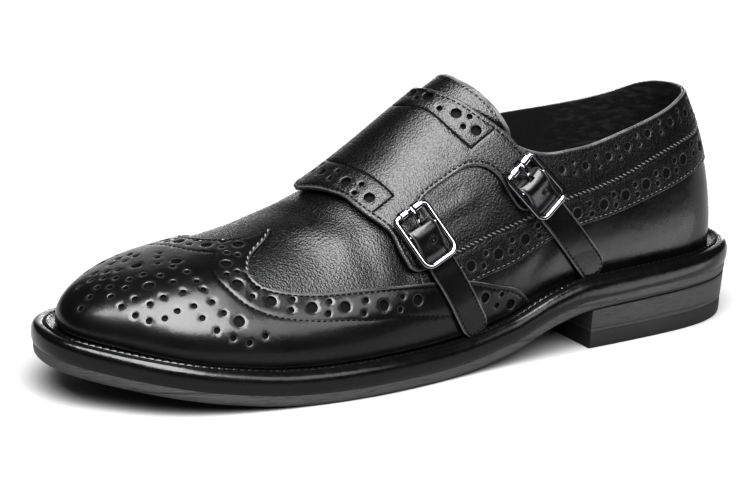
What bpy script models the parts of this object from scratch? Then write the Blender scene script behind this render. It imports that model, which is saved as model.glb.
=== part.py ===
"""A left double monk-strap wingtip shoe, standing empty on its sole.

+X points to the toe, +Y to the outer (lateral) side and +Z up.  The working unit is the
millimetre; meshes are written in metres.  Everything follows one last: a feather outline in
plan, a ridge along the instep, and a family of ribs that rise from the outline to the ridge.
"""
import math

import bpy
import numpy as np
from mathutils import Vector
from mathutils.bvhtree import BVHTree

MM = 0.001

# ---------------------------------------------------------------- driving sizes (mm)
FEATHER_LENGTH = 288.0      # heel back to toe tip along the feather line
HEEL_ROUND = 62.0           # fullness of the plan at the heel and at the toe
TOE_ROUND = 66.0
MIDDLE_Y = -1.65            # brings the middle of the sole's width over the origin
RIDGE_HEEL_END = 34.0       # the ridge runs between these two distances from the heel back
RIDGE_TOE_END = 250.0
RIDGE_SOFTNESS = 10.0

OUTSOLE_THICK = 4.2
MIDSOLE_TOP = 12.2          # above the sole's underside
FEATHER_LEVEL = 12.5        # the upper starts here, above the sole's underside
GAP = 0.3                   # air between neighbouring pieces
TOP_LIFT_THICK = 7.0
BREAST_X = 79.0             # front face of the heel, from the heel back

UPPER_SKIN = -0.6           # outer face of the upper, from the last's surface
UPPER_WALL = 2.0
WING_SKIN = (0.2, 1.1)      # lower and upper face of the wingtip overlay
WING_FOOT = 0.985           # the overlay stops just above the feather line
FLAP_SKIN = (0.0, 2.0)
INSOLE_THICK = 2.5
THROAT_X = 148.0            # front end of the opening over the instep
THROAT_SIDE_X = 138.0       # one more rib where the opening narrows fast

STATIONS = 36               # ribs from the heel back to the toe tip
UPPER_ROWS = 12

# x from the heel back, half widths of the feather line on the outer and the inner side
FEATHER = [
    # x, outer, inner
    (12, 20.8, 21.5),
    (40, 29.0, 30.0),
    (75, 32.5, 30.5),
    (110, 35.5, 27.0),
    (145, 40.0, 28.0),
    (180, 44.8, 34.0),
    (210, 44.3, 40.5),
    (240, 40.3, 41.0),
    (262, 32.4, 34.5),
    (279, 18.5, 21.5),
]

# height of the sole's underside: heel seat, arch, forefoot spot on the floor, toe spring
UNDERSIDE = [
    # x, z
    (-8, 17.8),
    (60, 16.6),
    (80, 15.8),
    (95, 12.8),
    (120, 4.4),
    (145, 0.5),
    (158, 0.0),
    (196, 0.0),
    (215, 0.6),
    (240, 3.6),
    (265, 8.0),
    (288, 12.2),
    (296, 14.0),
]

# ribs: height and side shift of the ridge, bulge and wall height at the feather, and how far
# the crown stays level beside the ridge
SECTIONS = [
    # x, ridge, shift, bulge, wall, crown
    (0, 111.3, 0.0, 0.6, 0.45, 14.4),
    (30, 113.1, 0.0, 3.6, 0.45, 16.2),
    (70, 115.3, -1.0, 5.6, 0.42, 17.9),
    (105, 114.6, -2.0, 5.5, 0.40, 20.4),
    (140, 95.4, -4.0, 6.0, 0.37, 22.3),
    (175, 70.4, -4.5, 6.0, 0.40, 25.7),
    (205, 56.2, -4.0, 6.0, 0.44, 27.3),
    (235, 49.8, -3.0, 5.3, 0.50, 27.3),
    (262, 43.6, -2.5, 2.3, 0.50, 26.2),
    (288, 30.7, -2.0, 0.8, 0.50, 21.1),
]

# topline: how far up its rib the upper goes, 0 at the feather and 1 on the ridge
TOPLINE = [
    # x, outer, inner
    (0, 0.600, 0.600),
    (10, 0.589, 0.590),
    (20, 0.572, 0.568),
    (30, 0.546, 0.537),
    (42, 0.516, 0.510),
    (55, 0.488, 0.494),
    (67, 0.463, 0.484),
    (78, 0.445, 0.476),
    (88, 0.443, 0.472),
    (97, 0.455, 0.478),
    (104, 0.487, 0.498),
    (111, 0.540, 0.545),
    (118, 0.615, 0.620),
    (126, 0.722, 0.722),
    (135, 0.845, 0.845),
    (143, 0.955, 0.955),
    (148, 1.000, 1.000),
]

# wingtip edges; w runs across the last: 1 outer feather, 0 ridge, -1 inner feather
WING_END_X = 107.0
WING_TIP = (204.5, 0.10)
OUTER_VALLEY = (222.5, 0.37)
INNER_VALLEY = (228.5, -0.18)
WING_OUTER_EDGE = [
    # x, w
    (107, 0.985), (113, 0.916), (121, 0.870), (135, 0.799), (155, 0.730), (172, 0.675),
    (191, 0.609), (202.5, 0.570), (210, 0.531), (217, 0.478), (222.5, 0.37),
]
WING_INNER_EDGE = [
    # x, w
    (107, -0.985), (113, -0.916), (121, -0.870), (135, -0.795), (156, -0.718), (173, -0.660),
    (192, -0.585), (205, -0.520), (216, -0.430), (225, -0.300), (228.5, -0.18),
]
WING_EXTRA_RIBS = (219.4, 225.6)    # where the inner edge climbs steeply
PEAK_OUTER_EDGE = [(204.5, 0.10), (211, 0.180), (218, 0.253), (222.5, 0.37)]
PEAK_INNER_EDGE = [(204.5, 0.10), (211, 0.052), (217.5, -0.015), (223, -0.095), (228.5, -0.18)]
TOE_FOLD = 0.30             # both valley lines meet the toe rib here

# the double flap: its front and rear edge by w, then the two strap ends
FLAP_FRONT_EDGE = [
    # w, x
    (-0.70, 157), (-0.5, 166), (-0.3, 175.5), (-0.13, 184), (-0.03, 186.4),
    (0.06, 184.2), (0.157, 179.7), (0.25, 175.1), (0.37, 170.5), (0.44, 167.5),
]
FLAP_REAR_EDGE = [
    # w, x
    (-0.70, 101), (-0.6, 105.5), (-0.45, 113), (-0.25, 125.5), (-0.13, 131.5),
    (-0.037, 135.1), (0.064, 133.9), (0.134, 130.6), (0.254, 125.4), (0.358, 119.6), (0.44, 113.7),
]
FLAP_ROW_STEP = 0.057
CUT_W = 0.44                # the arched cut between the straps reaches up to here
FLAP_COLUMNS = [167.5, 162.5, 157.5, 152.5, 145.5, 138.5, 131.5, 125.5, 119.5, 113.7]
FRONT_STRAP = [
    # front edge x, w, rear edge x, w
    (167.5, 0.44, 152.5, 0.44),
    (165.8, 0.49, 152.8, 0.475),
    (164.6, 0.545, 151.3, 0.53),
    (163.4, 0.60, 149.3, 0.585),
    (162.4, 0.64, 147.8, 0.625),
    (160.0, 0.665, 149.0, 0.652),
    (157.0, 0.672, 152.5, 0.667),
]
REAR_STRAP = [
    # front edge x, w, rear edge x, w
    (131.5, 0.44, 113.7, 0.44),
    (121.4, 0.512, 108.0, 0.495),
    (118.2, 0.56, 104.5, 0.545),
    (115.2, 0.62, 100.2, 0.60),
    (113.3, 0.65, 97.5, 0.637),
    (110.5, 0.675, 98.0, 0.665),
    (107.5, 0.688, 102.0, 0.683),
]

TONGUE_THICK = 1.6
TONGUE_FRONT_X = 162.0
TONGUE_TUCKED = -3.9        # outer face where it lies under the quarters
TONGUE_RAISED = -0.8        # outer face where it shows in the throat
TONGUE_TOP_EDGE = [
    # w, x
    (0.0, 123.8), (0.1, 122.6), (0.177, 119.9), (0.271, 116.2), (0.348, 113.0),
    (0.418, 110.6), (0.48, 109.0), (0.54, 108.5),
]
TONGUE_HALF = 0.54
THROAT_CLEAR = 0.15         # w between the throat's edge and the start of the rise
THROAT_RAMP = 0.10
TONGUE_DIP = (128.0, 137.0)  # it sinks under the vamp's edge between these stations

# buckle tabs and buckles; places by x and w, heights over the last
TAB_HALF = 5.8
TAB_HALF_IN_BUCKLE = 4.9
TAB_THICK = 1.4
TAB_OVER_STRAP = 2.4        # lower face where the tab lies on the strap end
TAB_START = -7.8            # its upper end stops short of the rollers
TAB_NARROW_END = 1.2        # both ends are rounded off by this much at each corner
BUCKLES = {
    "front": {
        "centre": (155.3, 0.555),
        "above": (158.8, 0.448),
        "below": (150.5, 0.659),
        "tab_end": (135.4, 0.950),
        "base": 1.45,
        "strap_end": 12.0,
    },
    "rear": {
        "centre": (106.1, 0.622),
        "above": (112.9, 0.532),
        "below": (99.4, 0.706),
        "tab_end": (77.9, 0.955),
        "base": 0.1,
        "strap_end": 10.5,
    },
}
FRAME_HALF_LENGTH = 9.7     # centre line of the rounded frame
FRAME_HALF_WIDTH = 6.75
FRAME_CORNERS = (3.2, 1.5)  # round at the far end, tighter beside the rollers
FRAME_SECTION = (1.25, 0.95)
FRAME_HEIGHT = 4.55         # centre plane above the last's surface
BAR_AT = -1.5               # the centre bar lies a little towards the roller
BAR_RADIUS = 0.9
HUMP_LOW = 5.8              # lower face of the tab over the bar
SLOT = (-6.4, -2.6, 1.35)   # start, end, half width of the prong's slot
ROLLER_OUTER = 1.9
ROLLER_INNER = 1.55
ROLLER_SPAN = (1.45, 5.0)
PRONG_HALF_WIDTH = 1.0
PRONG_HALF_THICK = 0.55
PRONG_PATH = [(-3.25, 4.6), (-4.6, 5.3), (-6.4, 6.55), (-8.2, 7.2), (-9.9, 7.33), (-11.4, 6.95)]

COLOURS = {
    # name: colour, roughness, metallic
    "grain_leather": ((0.012, 0.012, 0.013), 0.42, 0.0),
    "smooth_leather": ((0.010, 0.010, 0.011), 0.28, 0.0),
    "lining": ((0.020, 0.018, 0.017), 0.85, 0.0),
    "welt": ((0.011, 0.011, 0.012), 0.30, 0.0),
    "sole_edge": ((0.045, 0.045, 0.048), 0.60, 0.0),
    "rubber": ((0.020, 0.020, 0.021), 0.75, 0.0),
    "black_nickel": ((0.30, 0.30, 0.31), 0.18, 1.0),
}


# ---------------------------------------------------------------- curves
def natural_curve(table_x, table_y):
    """A natural cubic spline through the rows of a table."""
    xs = np.asarray(table_x, float)
    ys = np.asarray(table_y, float)
    count = len(xs)
    step = np.diff(xs)
    matrix = np.eye(count)
    right = np.zeros(count)
    for i in range(1, count - 1):
        matrix[i, i - 1:i + 2] = step[i - 1], 2 * (step[i - 1] + step[i]), step[i]
        right[i] = 6 * ((ys[i + 1] - ys[i]) / step[i] - (ys[i] - ys[i - 1]) / step[i - 1])
    bend = np.linalg.solve(matrix, right)

    def value(x):
        x = np.clip(np.asarray(x, float), xs[0], xs[-1])
        i = np.clip(np.searchsorted(xs, x) - 1, 0, count - 2)
        a = (xs[i + 1] - x) / step[i]
        b = (x - xs[i]) / step[i]
        cubic = ((a ** 3 - a) * bend[i] + (b ** 3 - b) * bend[i + 1]) * step[i] ** 2 / 6
        return a * ys[i] + b * ys[i + 1] + cubic

    return value


def flat_curve(table_x, table_y):
    """A cubic through the rows that never overshoots, so level stretches stay level."""
    xs = np.asarray(table_x, float)
    ys = np.asarray(table_y, float)
    slope = np.diff(ys) / np.diff(xs)
    tangent = np.zeros(len(xs))
    tangent[0], tangent[-1] = slope[0], slope[-1]
    for i in range(1, len(xs) - 1):
        if slope[i - 1] * slope[i] > 0:
            tangent[i] = 2 * slope[i - 1] * slope[i] / (slope[i - 1] + slope[i])

    def value(x):
        x = np.clip(np.asarray(x, float), xs[0], xs[-1])
        i = np.clip(np.searchsorted(xs, x) - 1, 0, len(xs) - 2)
        width = xs[i + 1] - xs[i]
        s = (x - xs[i]) / width
        start = ys[i] * (1 + 2 * s) * (1 - s) ** 2 + tangent[i] * width * s * (1 - s) ** 2
        end = ys[i + 1] * s * s * (3 - 2 * s) + tangent[i + 1] * width * s * s * (s - 1)
        return start + end

    return value


def smooth_step(s):
    s = np.clip(s, 0.0, 1.0)
    return s * s * (3 - 2 * s)


def station(x):
    """The rib number, 0 at the heel back and 1 at the toe tip, whose foot is at x."""
    return math.acos(1 - 2 * x / FEATHER_LENGTH) / math.pi


def station_x(t):
    return FEATHER_LENGTH * (1 - np.cos(np.pi * np.asarray(t, float))) / 2


def side_widths(column, heel, toe):
    """Half width divided by the half ellipse, so both ends of the plan come out round."""
    ts = [0.0] + [station(row[0]) for row in FEATHER] + [1.0]
    ratio = [row[column] / math.sin(math.pi * t) for row, t in zip(FEATHER, ts[1:])]
    return natural_curve(ts, [heel] + ratio + [toe])


def column(table, index):
    return [row[index] for row in table]


OUTER_WIDTH = side_widths(1, HEEL_ROUND, TOE_ROUND)
INNER_WIDTH = side_widths(2, HEEL_ROUND, TOE_ROUND)
UNDERSIDE_Z = flat_curve(column(UNDERSIDE, 0), column(UNDERSIDE, 1))
RIDGE_Z, RIDGE_Y, BULGE, WALL, CROWN = (
    natural_curve(column(SECTIONS, 0), column(SECTIONS, i)) for i in range(1, 6))
TOP_OUTER = natural_curve(column(TOPLINE, 0), column(TOPLINE, 1))
TOP_INNER = natural_curve(column(TOPLINE, 0), column(TOPLINE, 2))


# ---------------------------------------------------------------- the last
def feather_point(t, side):
    """Plan point of the feather line, measured from the middle of the shoe's length."""
    t = np.asarray(t, float)
    width = np.where(np.asarray(side) > 0, OUTER_WIDTH(t), INNER_WIDTH(t))
    x = station_x(t) - FEATHER_LENGTH / 2
    return x, side * width * np.sin(np.pi * t) + MIDDLE_Y


def ridge_x(x):
    """Foot positions squeezed softly onto the ridge's own length."""
    soft = RIDGE_SOFTNESS
    x = RIDGE_TOE_END - soft * np.log1p(np.exp((RIDGE_TOE_END - x) / soft))
    return RIDGE_HEEL_END + soft * np.log1p(np.exp((x - RIDGE_HEEL_END) / soft))


def last_point(t, side, v):
    """A point on the closed last: v is 0 at the feather line and 1 on the ridge."""
    t, side, v = np.broadcast_arrays(
        np.asarray(t, float), np.asarray(side, float), np.asarray(v, float))
    foot_x, foot_y = feather_point(t, side)
    x = foot_x + FEATHER_LENGTH / 2
    on_ridge = ridge_x(x)
    top_x = on_ridge - FEATHER_LENGTH / 2
    top_y = RIDGE_Y(on_ridge) + MIDDLE_Y
    top_z = RIDGE_Z(on_ridge)
    slope = (RIDGE_Z(on_ridge + 1) - RIDGE_Z(on_ridge - 1)) / 2
    out_x, out_y = foot_x - top_x, foot_y - top_y
    reach = np.hypot(out_x, out_y)
    out_x, out_y = out_x / reach, out_y / reach
    foot_z = UNDERSIDE_Z(x) + FEATHER_LEVEL
    bulge, wall, crown = BULGE(x), WALL(x) * (top_z - foot_z), CROWN(x)
    knots = (
        np.stack([foot_x, foot_y, foot_z], -1),
        np.stack([foot_x + out_x * bulge, foot_y + out_y * bulge, foot_z + wall], -1),
        np.stack([top_x + out_x * crown, top_y + out_y * crown,
                  top_z + slope * out_x * crown], -1),
        np.stack([top_x, top_y, top_z], -1),
    )
    v = v[..., None]
    u = 1 - v
    return u ** 3 * knots[0] + 3 * u * u * v * knots[1] + 3 * u * v * v * knots[2] + v ** 3 * knots[3]


def last_normal(t, side, v):
    """Outward normal of the last, kept clear of the two ends and the ridge."""
    nudge = 0.001
    t = np.clip(t, 2 * nudge, 1 - 2 * nudge)
    v = np.clip(v, nudge, 1 - 2 * nudge)
    along = last_point(t + nudge, side, v) - last_point(t - nudge, side, v)
    up = last_point(t, side, v + nudge) - last_point(t, side, v - nudge)
    normal = -np.cross(along, up) * np.asarray(side, float)[..., None]
    return normal / np.linalg.norm(normal, axis=-1, keepdims=True)


def skin(t, w, height):
    """A point at a height over the last; w is 1 outer feather, 0 ridge, -1 inner feather."""
    t, w, height = np.broadcast_arrays(
        np.asarray(t, float), np.asarray(w, float), np.asarray(height, float))
    side = np.where(w < 0, -1.0, 1.0)
    v = 1 - np.abs(w)
    return last_point(t, side, v) + last_normal(t, side, v) * height[..., None]


def topline(x, side):
    """How far up its rib the upper goes at a station."""
    if x >= THROAT_X:
        return 1.0
    return float(min(1.0, (TOP_OUTER if side > 0 else TOP_INNER)(x)))


# ---------------------------------------------------------------- meshes and materials
def clear_scene():
    for thing in list(bpy.data.objects):
        bpy.data.objects.remove(thing, do_unlink=True)


def material(name):
    made = bpy.data.materials.get(name)
    if made is None:
        colour, roughness, metallic = COLOURS[name]
        made = bpy.data.materials.new(name)
        made.use_nodes = True
        shader = made.node_tree.nodes["Principled BSDF"]
        shader.inputs["Base Color"].default_value = (*colour, 1.0)
        shader.inputs["Roughness"].default_value = roughness
        shader.inputs["Metallic"].default_value = metallic
    return made


def add_solid(name, points, faces, finish):
    """An object from points in millimetres; faces that lost corners to merging are dropped."""
    mesh = bpy.data.meshes.new(name)
    mesh.from_pydata([tuple(c * MM for c in p) for p in points], [], faces)
    mesh.validate()
    mesh.update()
    made = bpy.data.objects.new(name, mesh)
    bpy.context.scene.collection.objects.link(made)
    mesh.materials.append(material(finish))
    mesh.shade_smooth()
    mesh.set_sharp_from_angle(angle=math.radians(35))
    return made


def without_repeats(face):
    return [c for i, c in enumerate(face) if c != face[i - 1]]


# ---------------------------------------------------------------- plates under the last
def plate(name, profile, finish, stations, breast=None):
    """A layer of the bottom: a profile of (offset, level) carried round the feather line.

    The level is a function of x.  With a breast, the layer stops there with a flat face.
    """
    closed = breast is None
    ring = [(t, 1) for t in stations]
    back = stations[-2:0:-1] if closed else stations[:0:-1]
    ring += [(t, -1) for t in back]
    points = []
    for t, side in ring:
        x, y = feather_point(t, side)
        nudge = 0.0005
        before = feather_point(max(t - nudge, 0), side)
        after = feather_point(min(t + nudge, 1), side)
        along = np.array([after[0] - before[0], after[1] - before[1]])
        along /= np.linalg.norm(along)
        out = np.array([-along[1], along[0]]) * side
        if t in (0.0, 1.0):
            out = np.array([-1.0 if t == 0.0 else 1.0, 0.0])
        for offset, level in profile:
            px, py = x + out[0] * offset, y + out[1] * offset
            if breast is not None and t == stations[-1]:
                px = breast - FEATHER_LENGTH / 2
            points.append((px, py, float(level(px + FEATHER_LENGTH / 2))))
    rows, loops = len(profile), len(ring)
    faces = []
    for i in range(loops):
        j = (i + 1) % loops
        for k in range(rows - 1):
            faces.append((i * rows + k, i * rows + k + 1, j * rows + k + 1, j * rows + k))
    last = len(stations) - 1
    for i in range(last):
        outer_a, outer_b = i, i + 1
        inner_a, inner_b = (loops - i) % loops, loops - i - 1
        for k, turn in ((0, 1), (rows - 1, -1)):
            face = without_repeats([c * rows + k for c in (outer_a, outer_b, inner_b, inner_a)])
            faces.append(face[::turn])
    return add_solid(name, points, faces, finish)


def above_underside(height):
    return lambda x: UNDERSIDE_Z(x) + height


def level(height):
    return lambda x: height


def build_bottom(stations):
    plate("outsole", [
        (5.6, above_underside(0.0)),
        (6.7, above_underside(0.9)),
        (6.9, above_underside(2.2)),
        (6.6, above_underside(OUTSOLE_THICK)),
    ], "sole_edge", stations)
    seat = OUTSOLE_THICK + GAP
    plate("midsole_welt", [
        (6.2, above_underside(seat)),
        (7.3, above_underside(seat + 0.9)),
        (7.7, above_underside(seat + 2.9)),
        (7.3, above_underside(seat + 5.0)),
        (6.0, above_underside(seat + 6.7)),
        (4.3, above_underside(MIDSOLE_TOP + 0.2)),
        (3.5, above_underside(MIDSOLE_TOP + 1.1)),
        (2.3, above_underside(MIDSOLE_TOP + 1.1)),
        (1.3, above_underside(MIDSOLE_TOP)),
    ], "welt", stations)
    plate("insole", [
        (-3.0, above_underside(FEATHER_LEVEL)),
        (-3.0, above_underside(FEATHER_LEVEL + INSOLE_THICK)),
    ], "lining", stations)

    heel = [t for t in stations if station_x(t) < BREAST_X - 3] + [station(BREAST_X)]
    plate("heel_stack", [
        (5.9, level(TOP_LIFT_THICK + GAP)),
        (6.5, above_underside(-GAP)),
    ], "sole_edge", heel, BREAST_X)
    plate("top_lift", [
        (5.2, level(0.0)),
        (5.7, level(0.8)),
        (5.8, level(TOP_LIFT_THICK)),
    ], "rubber", heel, BREAST_X)


# ---------------------------------------------------------------- the upper
def build_upper(stations):
    """One shell, open underneath and at the collar and throat, with a real wall."""
    ring = [(t, 1) for t in stations] + [(t, -1) for t in stations[-2:0:-1]]
    points, lookup = [], {}

    def corner(t, side, row, inside):
        top = topline(float(station_x(t)), side)
        v = top * row / UPPER_ROWS
        height = UPPER_SKIN - (UPPER_WALL if inside else 0.0)
        shared = v >= 1.0 or t in (0.0, 1.0)
        key = (round(t, 6), 1 if shared else side, row, inside)
        if key not in lookup:
            place = skin(t, (1 - v) * (1 if shared else side), height)
            if row == 0:
                x = float(station_x(t))
                place = np.array([place[0], place[1], UNDERSIDE_Z(x) + FEATHER_LEVEL])
            lookup[key] = len(points)
            points.append(tuple(place))
        return lookup[key]

    faces = []
    for i, (t_a, side_a) in enumerate(ring):
        t_b, side_b = ring[(i + 1) % len(ring)]
        for row in range(UPPER_ROWS):
            for inside in (False, True):
                face = [corner(t_a, side_a, row, inside), corner(t_a, side_a, row + 1, inside),
                        corner(t_b, side_b, row + 1, inside), corner(t_b, side_b, row, inside)]
                faces.append(without_repeats(face[::-1] if inside else face))
        rim = [corner(t_a, side_a, 0, True), corner(t_a, side_a, 0, False),
               corner(t_b, side_b, 0, False), corner(t_b, side_b, 0, True)]
        faces.append(rim)
        open_a = topline(float(station_x(t_a)), side_a) < 1.0
        open_b = topline(float(station_x(t_b)), side_b) < 1.0
        if open_a or open_b:
            rows = UPPER_ROWS
            edge = [corner(t_a, side_a, rows, False), corner(t_a, side_a, rows, True),
                    corner(t_b, side_b, rows, True), corner(t_b, side_b, rows, False)]
            faces.append(edge)
    return add_solid("upper", points, faces, "grain_leather")


# ---------------------------------------------------------------- panels laid on the last
class Panel:
    """A sheet of leather charted on the last by station x and w, given a lower and upper face."""

    def __init__(self):
        self.chart = []
        self.faces = []
        self.lookup = {}

    def corner(self, x, w, low, high):
        place = skin(station(min(x, FEATHER_LENGTH)), w, 0.0)
        key = tuple(np.round(place, 3))
        if key not in self.lookup:
            self.lookup[key] = len(self.chart)
            self.chart.append((x, w, low, high))
        return self.lookup[key]

    def patch(self, grid):
        """Add a grid of (x, w, low, high) whose rows run towards the toe side by side."""
        ids = [[self.corner(*cell) for cell in row] for row in grid]
        for row, after in zip(ids, ids[1:]):
            for a, b, c, d in zip(row, row[1:], after[1:], after):
                face = without_repeats([a, b, c, d])
                if len(face) > 2:
                    self.faces.append(face)

    def solid(self, name, finish):
        x, w, low, high = (np.array(c) for c in zip(*self.chart))
        t = np.array([station(min(value, FEATHER_LENGTH)) for value in x])
        points = list(skin(t, w, high)) + list(skin(t, w, low))
        count = len(self.chart)
        faces = list(self.faces) + [[c + count for c in face[::-1]] for face in self.faces]
        edges = {(a, b) for face in self.faces for a, b in zip(face, face[1:] + face[:1])}
        for a, b in sorted(edges):
            if (b, a) not in edges:
                faces.append([b, a, a + count, b + count])
        return add_solid(name, points, faces, finish)


def spread(first, final, parts):
    return [first + (final - first) * i / parts for i in range(parts + 1)]


def build_wingtip(stations):
    """The toe cap and its two wings: three bands that share their stations at the toe."""
    turns = [WING_END_X, WING_TIP[0], OUTER_VALLEY[0], INNER_VALLEY[0], *WING_EXTRA_RIBS]
    free = [float(station_x(t)) for t in stations if station_x(t) > WING_END_X]
    free = [x for x in free if all(abs(x - turn) > 2.2 for turn in turns)]
    xs = sorted(turns + free)

    outer = natural_curve(column(WING_OUTER_EDGE, 0), column(WING_OUTER_EDGE, 1))
    inner = natural_curve(column(WING_INNER_EDGE, 0), column(WING_INNER_EDGE, 1))
    peak_outer = natural_curve(column(PEAK_OUTER_EDGE, 0), column(PEAK_OUTER_EDGE, 1))
    peak_inner = natural_curve(column(PEAK_INNER_EDGE, 0), column(PEAK_INNER_EDGE, 1))

    def to_toe(x, valley, goal):
        share = smooth_step((x - valley[0]) / (FEATHER_LENGTH - valley[0]))
        return valley[1] + (goal - valley[1]) * share

    def outer_line(x, edge):
        return float(edge(x)) if x < OUTER_VALLEY[0] else to_toe(x, OUTER_VALLEY, TOE_FOLD)

    def inner_line(x, edge):
        return float(edge(x)) if x < INNER_VALLEY[0] else to_toe(x, INNER_VALLEY, -TOE_FOLD)

    low, high = WING_SKIN
    panel = Panel()
    for start, line_a, line_b, parts in (
        (WING_END_X, lambda x: WING_FOOT, lambda x: outer_line(x, outer), 6),
        (WING_TIP[0], lambda x: outer_line(x, peak_outer), lambda x: inner_line(x, peak_inner), 6),
        (WING_END_X, lambda x: inner_line(x, inner), lambda x: -WING_FOOT, 6),
    ):
        grid = [[(x, w, low, high) for w in spread(line_a(x), line_b(x), parts)]
                for x in xs if x >= start]
        panel.patch(grid)
    return panel.solid("wingtip", "smooth_leather")


def build_flap():
    """The flap over the instep that ends in two straps; on the inner side it is a quarter."""
    front = natural_curve(column(FLAP_FRONT_EDGE, 0), column(FLAP_FRONT_EDGE, 1))
    rear = natural_curve(column(FLAP_REAR_EDGE, 0), column(FLAP_REAR_EDGE, 1))
    low, high = FLAP_SKIN
    share = [(FLAP_COLUMNS[0] - x) / (FLAP_COLUMNS[0] - FLAP_COLUMNS[-1]) for x in FLAP_COLUMNS]
    first = FLAP_FRONT_EDGE[0][0]
    rows = spread(CUT_W, first, round((CUT_W - first) / FLAP_ROW_STEP))
    panel = Panel()
    grid = []
    for w in rows:
        x_front, x_rear = float(front(w)), float(rear(w))
        grid.append([(x_front + (x_rear - x_front) * s, w, low, high) for s in share])
    panel.patch([list(row) for row in zip(*grid)][::-1])
    for strap, columns in ((FRONT_STRAP, FLAP_COLUMNS[:4]), (REAR_STRAP, FLAP_COLUMNS[6:])):
        share = [(columns[0] - x) / (columns[0] - columns[-1]) for x in columns]
        grid = []
        for x_front, w_front, x_rear, w_rear in strap:
            grid.append([(x_front + (x_rear - x_front) * s, w_front + (w_rear - w_front) * s,
                          low, high) for s in share])
        panel.patch([list(row)[::-1] for row in zip(*grid)][::-1])
    return panel.solid("monk_flap", "grain_leather")


def build_tongue():
    """Raised where it fills the throat, tucked inside the quarters beside it."""
    top_edge = natural_curve(column(TONGUE_TOP_EDGE, 0), column(TONGUE_TOP_EDGE, 1))
    panel = Panel()
    grid = []
    for w in spread(TONGUE_HALF, -TONGUE_HALF, 18):
        x_top = float(top_edge(abs(w)))
        row = []
        for x in spread(x_top, TONGUE_FRONT_X, 6):
            opening = 1 - topline(x, 1 if w >= 0 else -1)
            rise = float(smooth_step((opening - abs(w) - THROAT_CLEAR) / THROAT_RAMP))
            rise *= float(smooth_step((TONGUE_DIP[1] - x) / (TONGUE_DIP[1] - TONGUE_DIP[0])))
            high = TONGUE_TUCKED + (TONGUE_RAISED - TONGUE_TUCKED) * rise
            row.append((x, w, high - TONGUE_THICK, high))
        grid.append(row)
    panel.patch([list(row) for row in zip(*grid)])
    return panel.solid("tongue", "grain_leather")


# ---------------------------------------------------------------- tabs and buckles
def charted(place):
    return skin(station(place[0]), place[1], 0.0)


def buckle_axes(spec):
    """Centre, down-strap, across and outward directions of a buckle lying on the last."""
    x, w = spec["centre"]
    centre = charted(spec["centre"])
    out = skin(station(x), w, 1.0) - centre
    down = charted(spec["below"]) - charted(spec["above"])
    down -= out * np.dot(down, out)
    down /= np.linalg.norm(down)
    return centre, down, np.cross(out, down), out


def to_world(axes, u, s, h):
    centre, down, across, out = axes
    return centre + down * u + across * s + out * h


def outer_side_tree():
    """The outer half of the last as a fine mesh, to lay the tabs on."""
    along, up = 150, 60
    t, v = np.meshgrid(np.linspace(0.2, 0.8, along), np.linspace(0, 1, up), indexing="ij")
    points = [Vector(p) for p in last_point(t, 1.0, v).reshape(-1, 3)]
    faces = [(i * up + j, (i + 1) * up + j, (i + 1) * up + j + 1, i * up + j + 1)
             for i in range(along - 1) for j in range(up - 1)]
    return BVHTree.FromPolygons(points, faces)


def drape(tree, axes, u, s):
    """Foot point and normal on the last under a place in a buckle's own plane."""
    origin = Vector(to_world(axes, u, s, 40.0))
    place, normal, _, _ = tree.ray_cast(origin, Vector(-axes[3]))
    normal = np.array(normal)
    return np.array(place), normal * np.sign(np.dot(normal, axes[3]))


def tab_low(u, spec):
    """Lower face of a tab: on the strap end, over the centre bar, then down on the quarter."""
    hump = smooth_step((u - BAR_AT + 5.2) / 3.8) * smooth_step((BAR_AT + 5.0 - u) / 3.6)
    low = TAB_OVER_STRAP + (HUMP_LOW - TAB_OVER_STRAP) * hump
    down = smooth_step((u - spec["strap_end"]) / 4.0)
    return float(low + (spec["base"] - low) * down)


def build_tab(name, spec, tree):
    """A leather tab that rises over the buckle's bar, with a slot for the prong."""
    axes = buckle_axes(spec)
    centre, down, across, _ = axes
    far = charted(spec["tab_end"]) - centre
    length, drift = float(np.dot(far, down)), float(np.dot(far, across))
    bend_from = 8.0
    cuts = [TAB_START, -6.9, -5.4, -4.4, -3.4, -2.4, BAR_AT, -0.6, 0.6, 1.8, 3.2]
    cuts += spread(5.0, length - 1.5, 8) + [length]
    lower, upper = [], []
    for u in cuts:
        middle = drift * max(0.0, (u - bend_from) / (length - bend_from))
        widening = float(smooth_step((u - 10) / 4))
        half = TAB_HALF_IN_BUCKLE + (TAB_HALF - TAB_HALF_IN_BUCKLE) * widening
        thick = TAB_THICK
        if u in (TAB_START, length):
            half -= TAB_NARROW_END
            thick *= 0.7
        feet = [drape(tree, axes, u, middle + half * f) for f in (-1.0, -0.6, -0.2, 0.2, 0.6, 1.0)]
        low = tab_low(u, spec)
        lower.append([place + normal * low for place, normal in feet])
        upper.append([place + normal * (low + thick) for place, normal in feet])
    points, faces = slab(lower, upper)
    tab = add_solid(name, points, faces, "smooth_leather")

    slot_start, slot_end, slot_half = SLOT
    corners = [to_world(axes, u, s, h) for h in (-6.0, 14.0)
               for u, s in ((slot_start, -slot_half), (slot_end, -slot_half),
                            (slot_end, slot_half), (slot_start, slot_half))]
    faces = [(3, 2, 1, 0), (4, 5, 6, 7), (0, 1, 5, 4), (1, 2, 6, 5), (2, 3, 7, 6), (3, 0, 4, 7)]
    cutter = add_solid(name + "_slot_cutter", corners, faces, "black_nickel")
    hide(cutter)
    cut = tab.modifiers.new("slot", "BOOLEAN")
    cut.operation = "DIFFERENCE"
    cut.object = cutter
    return tab


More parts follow.
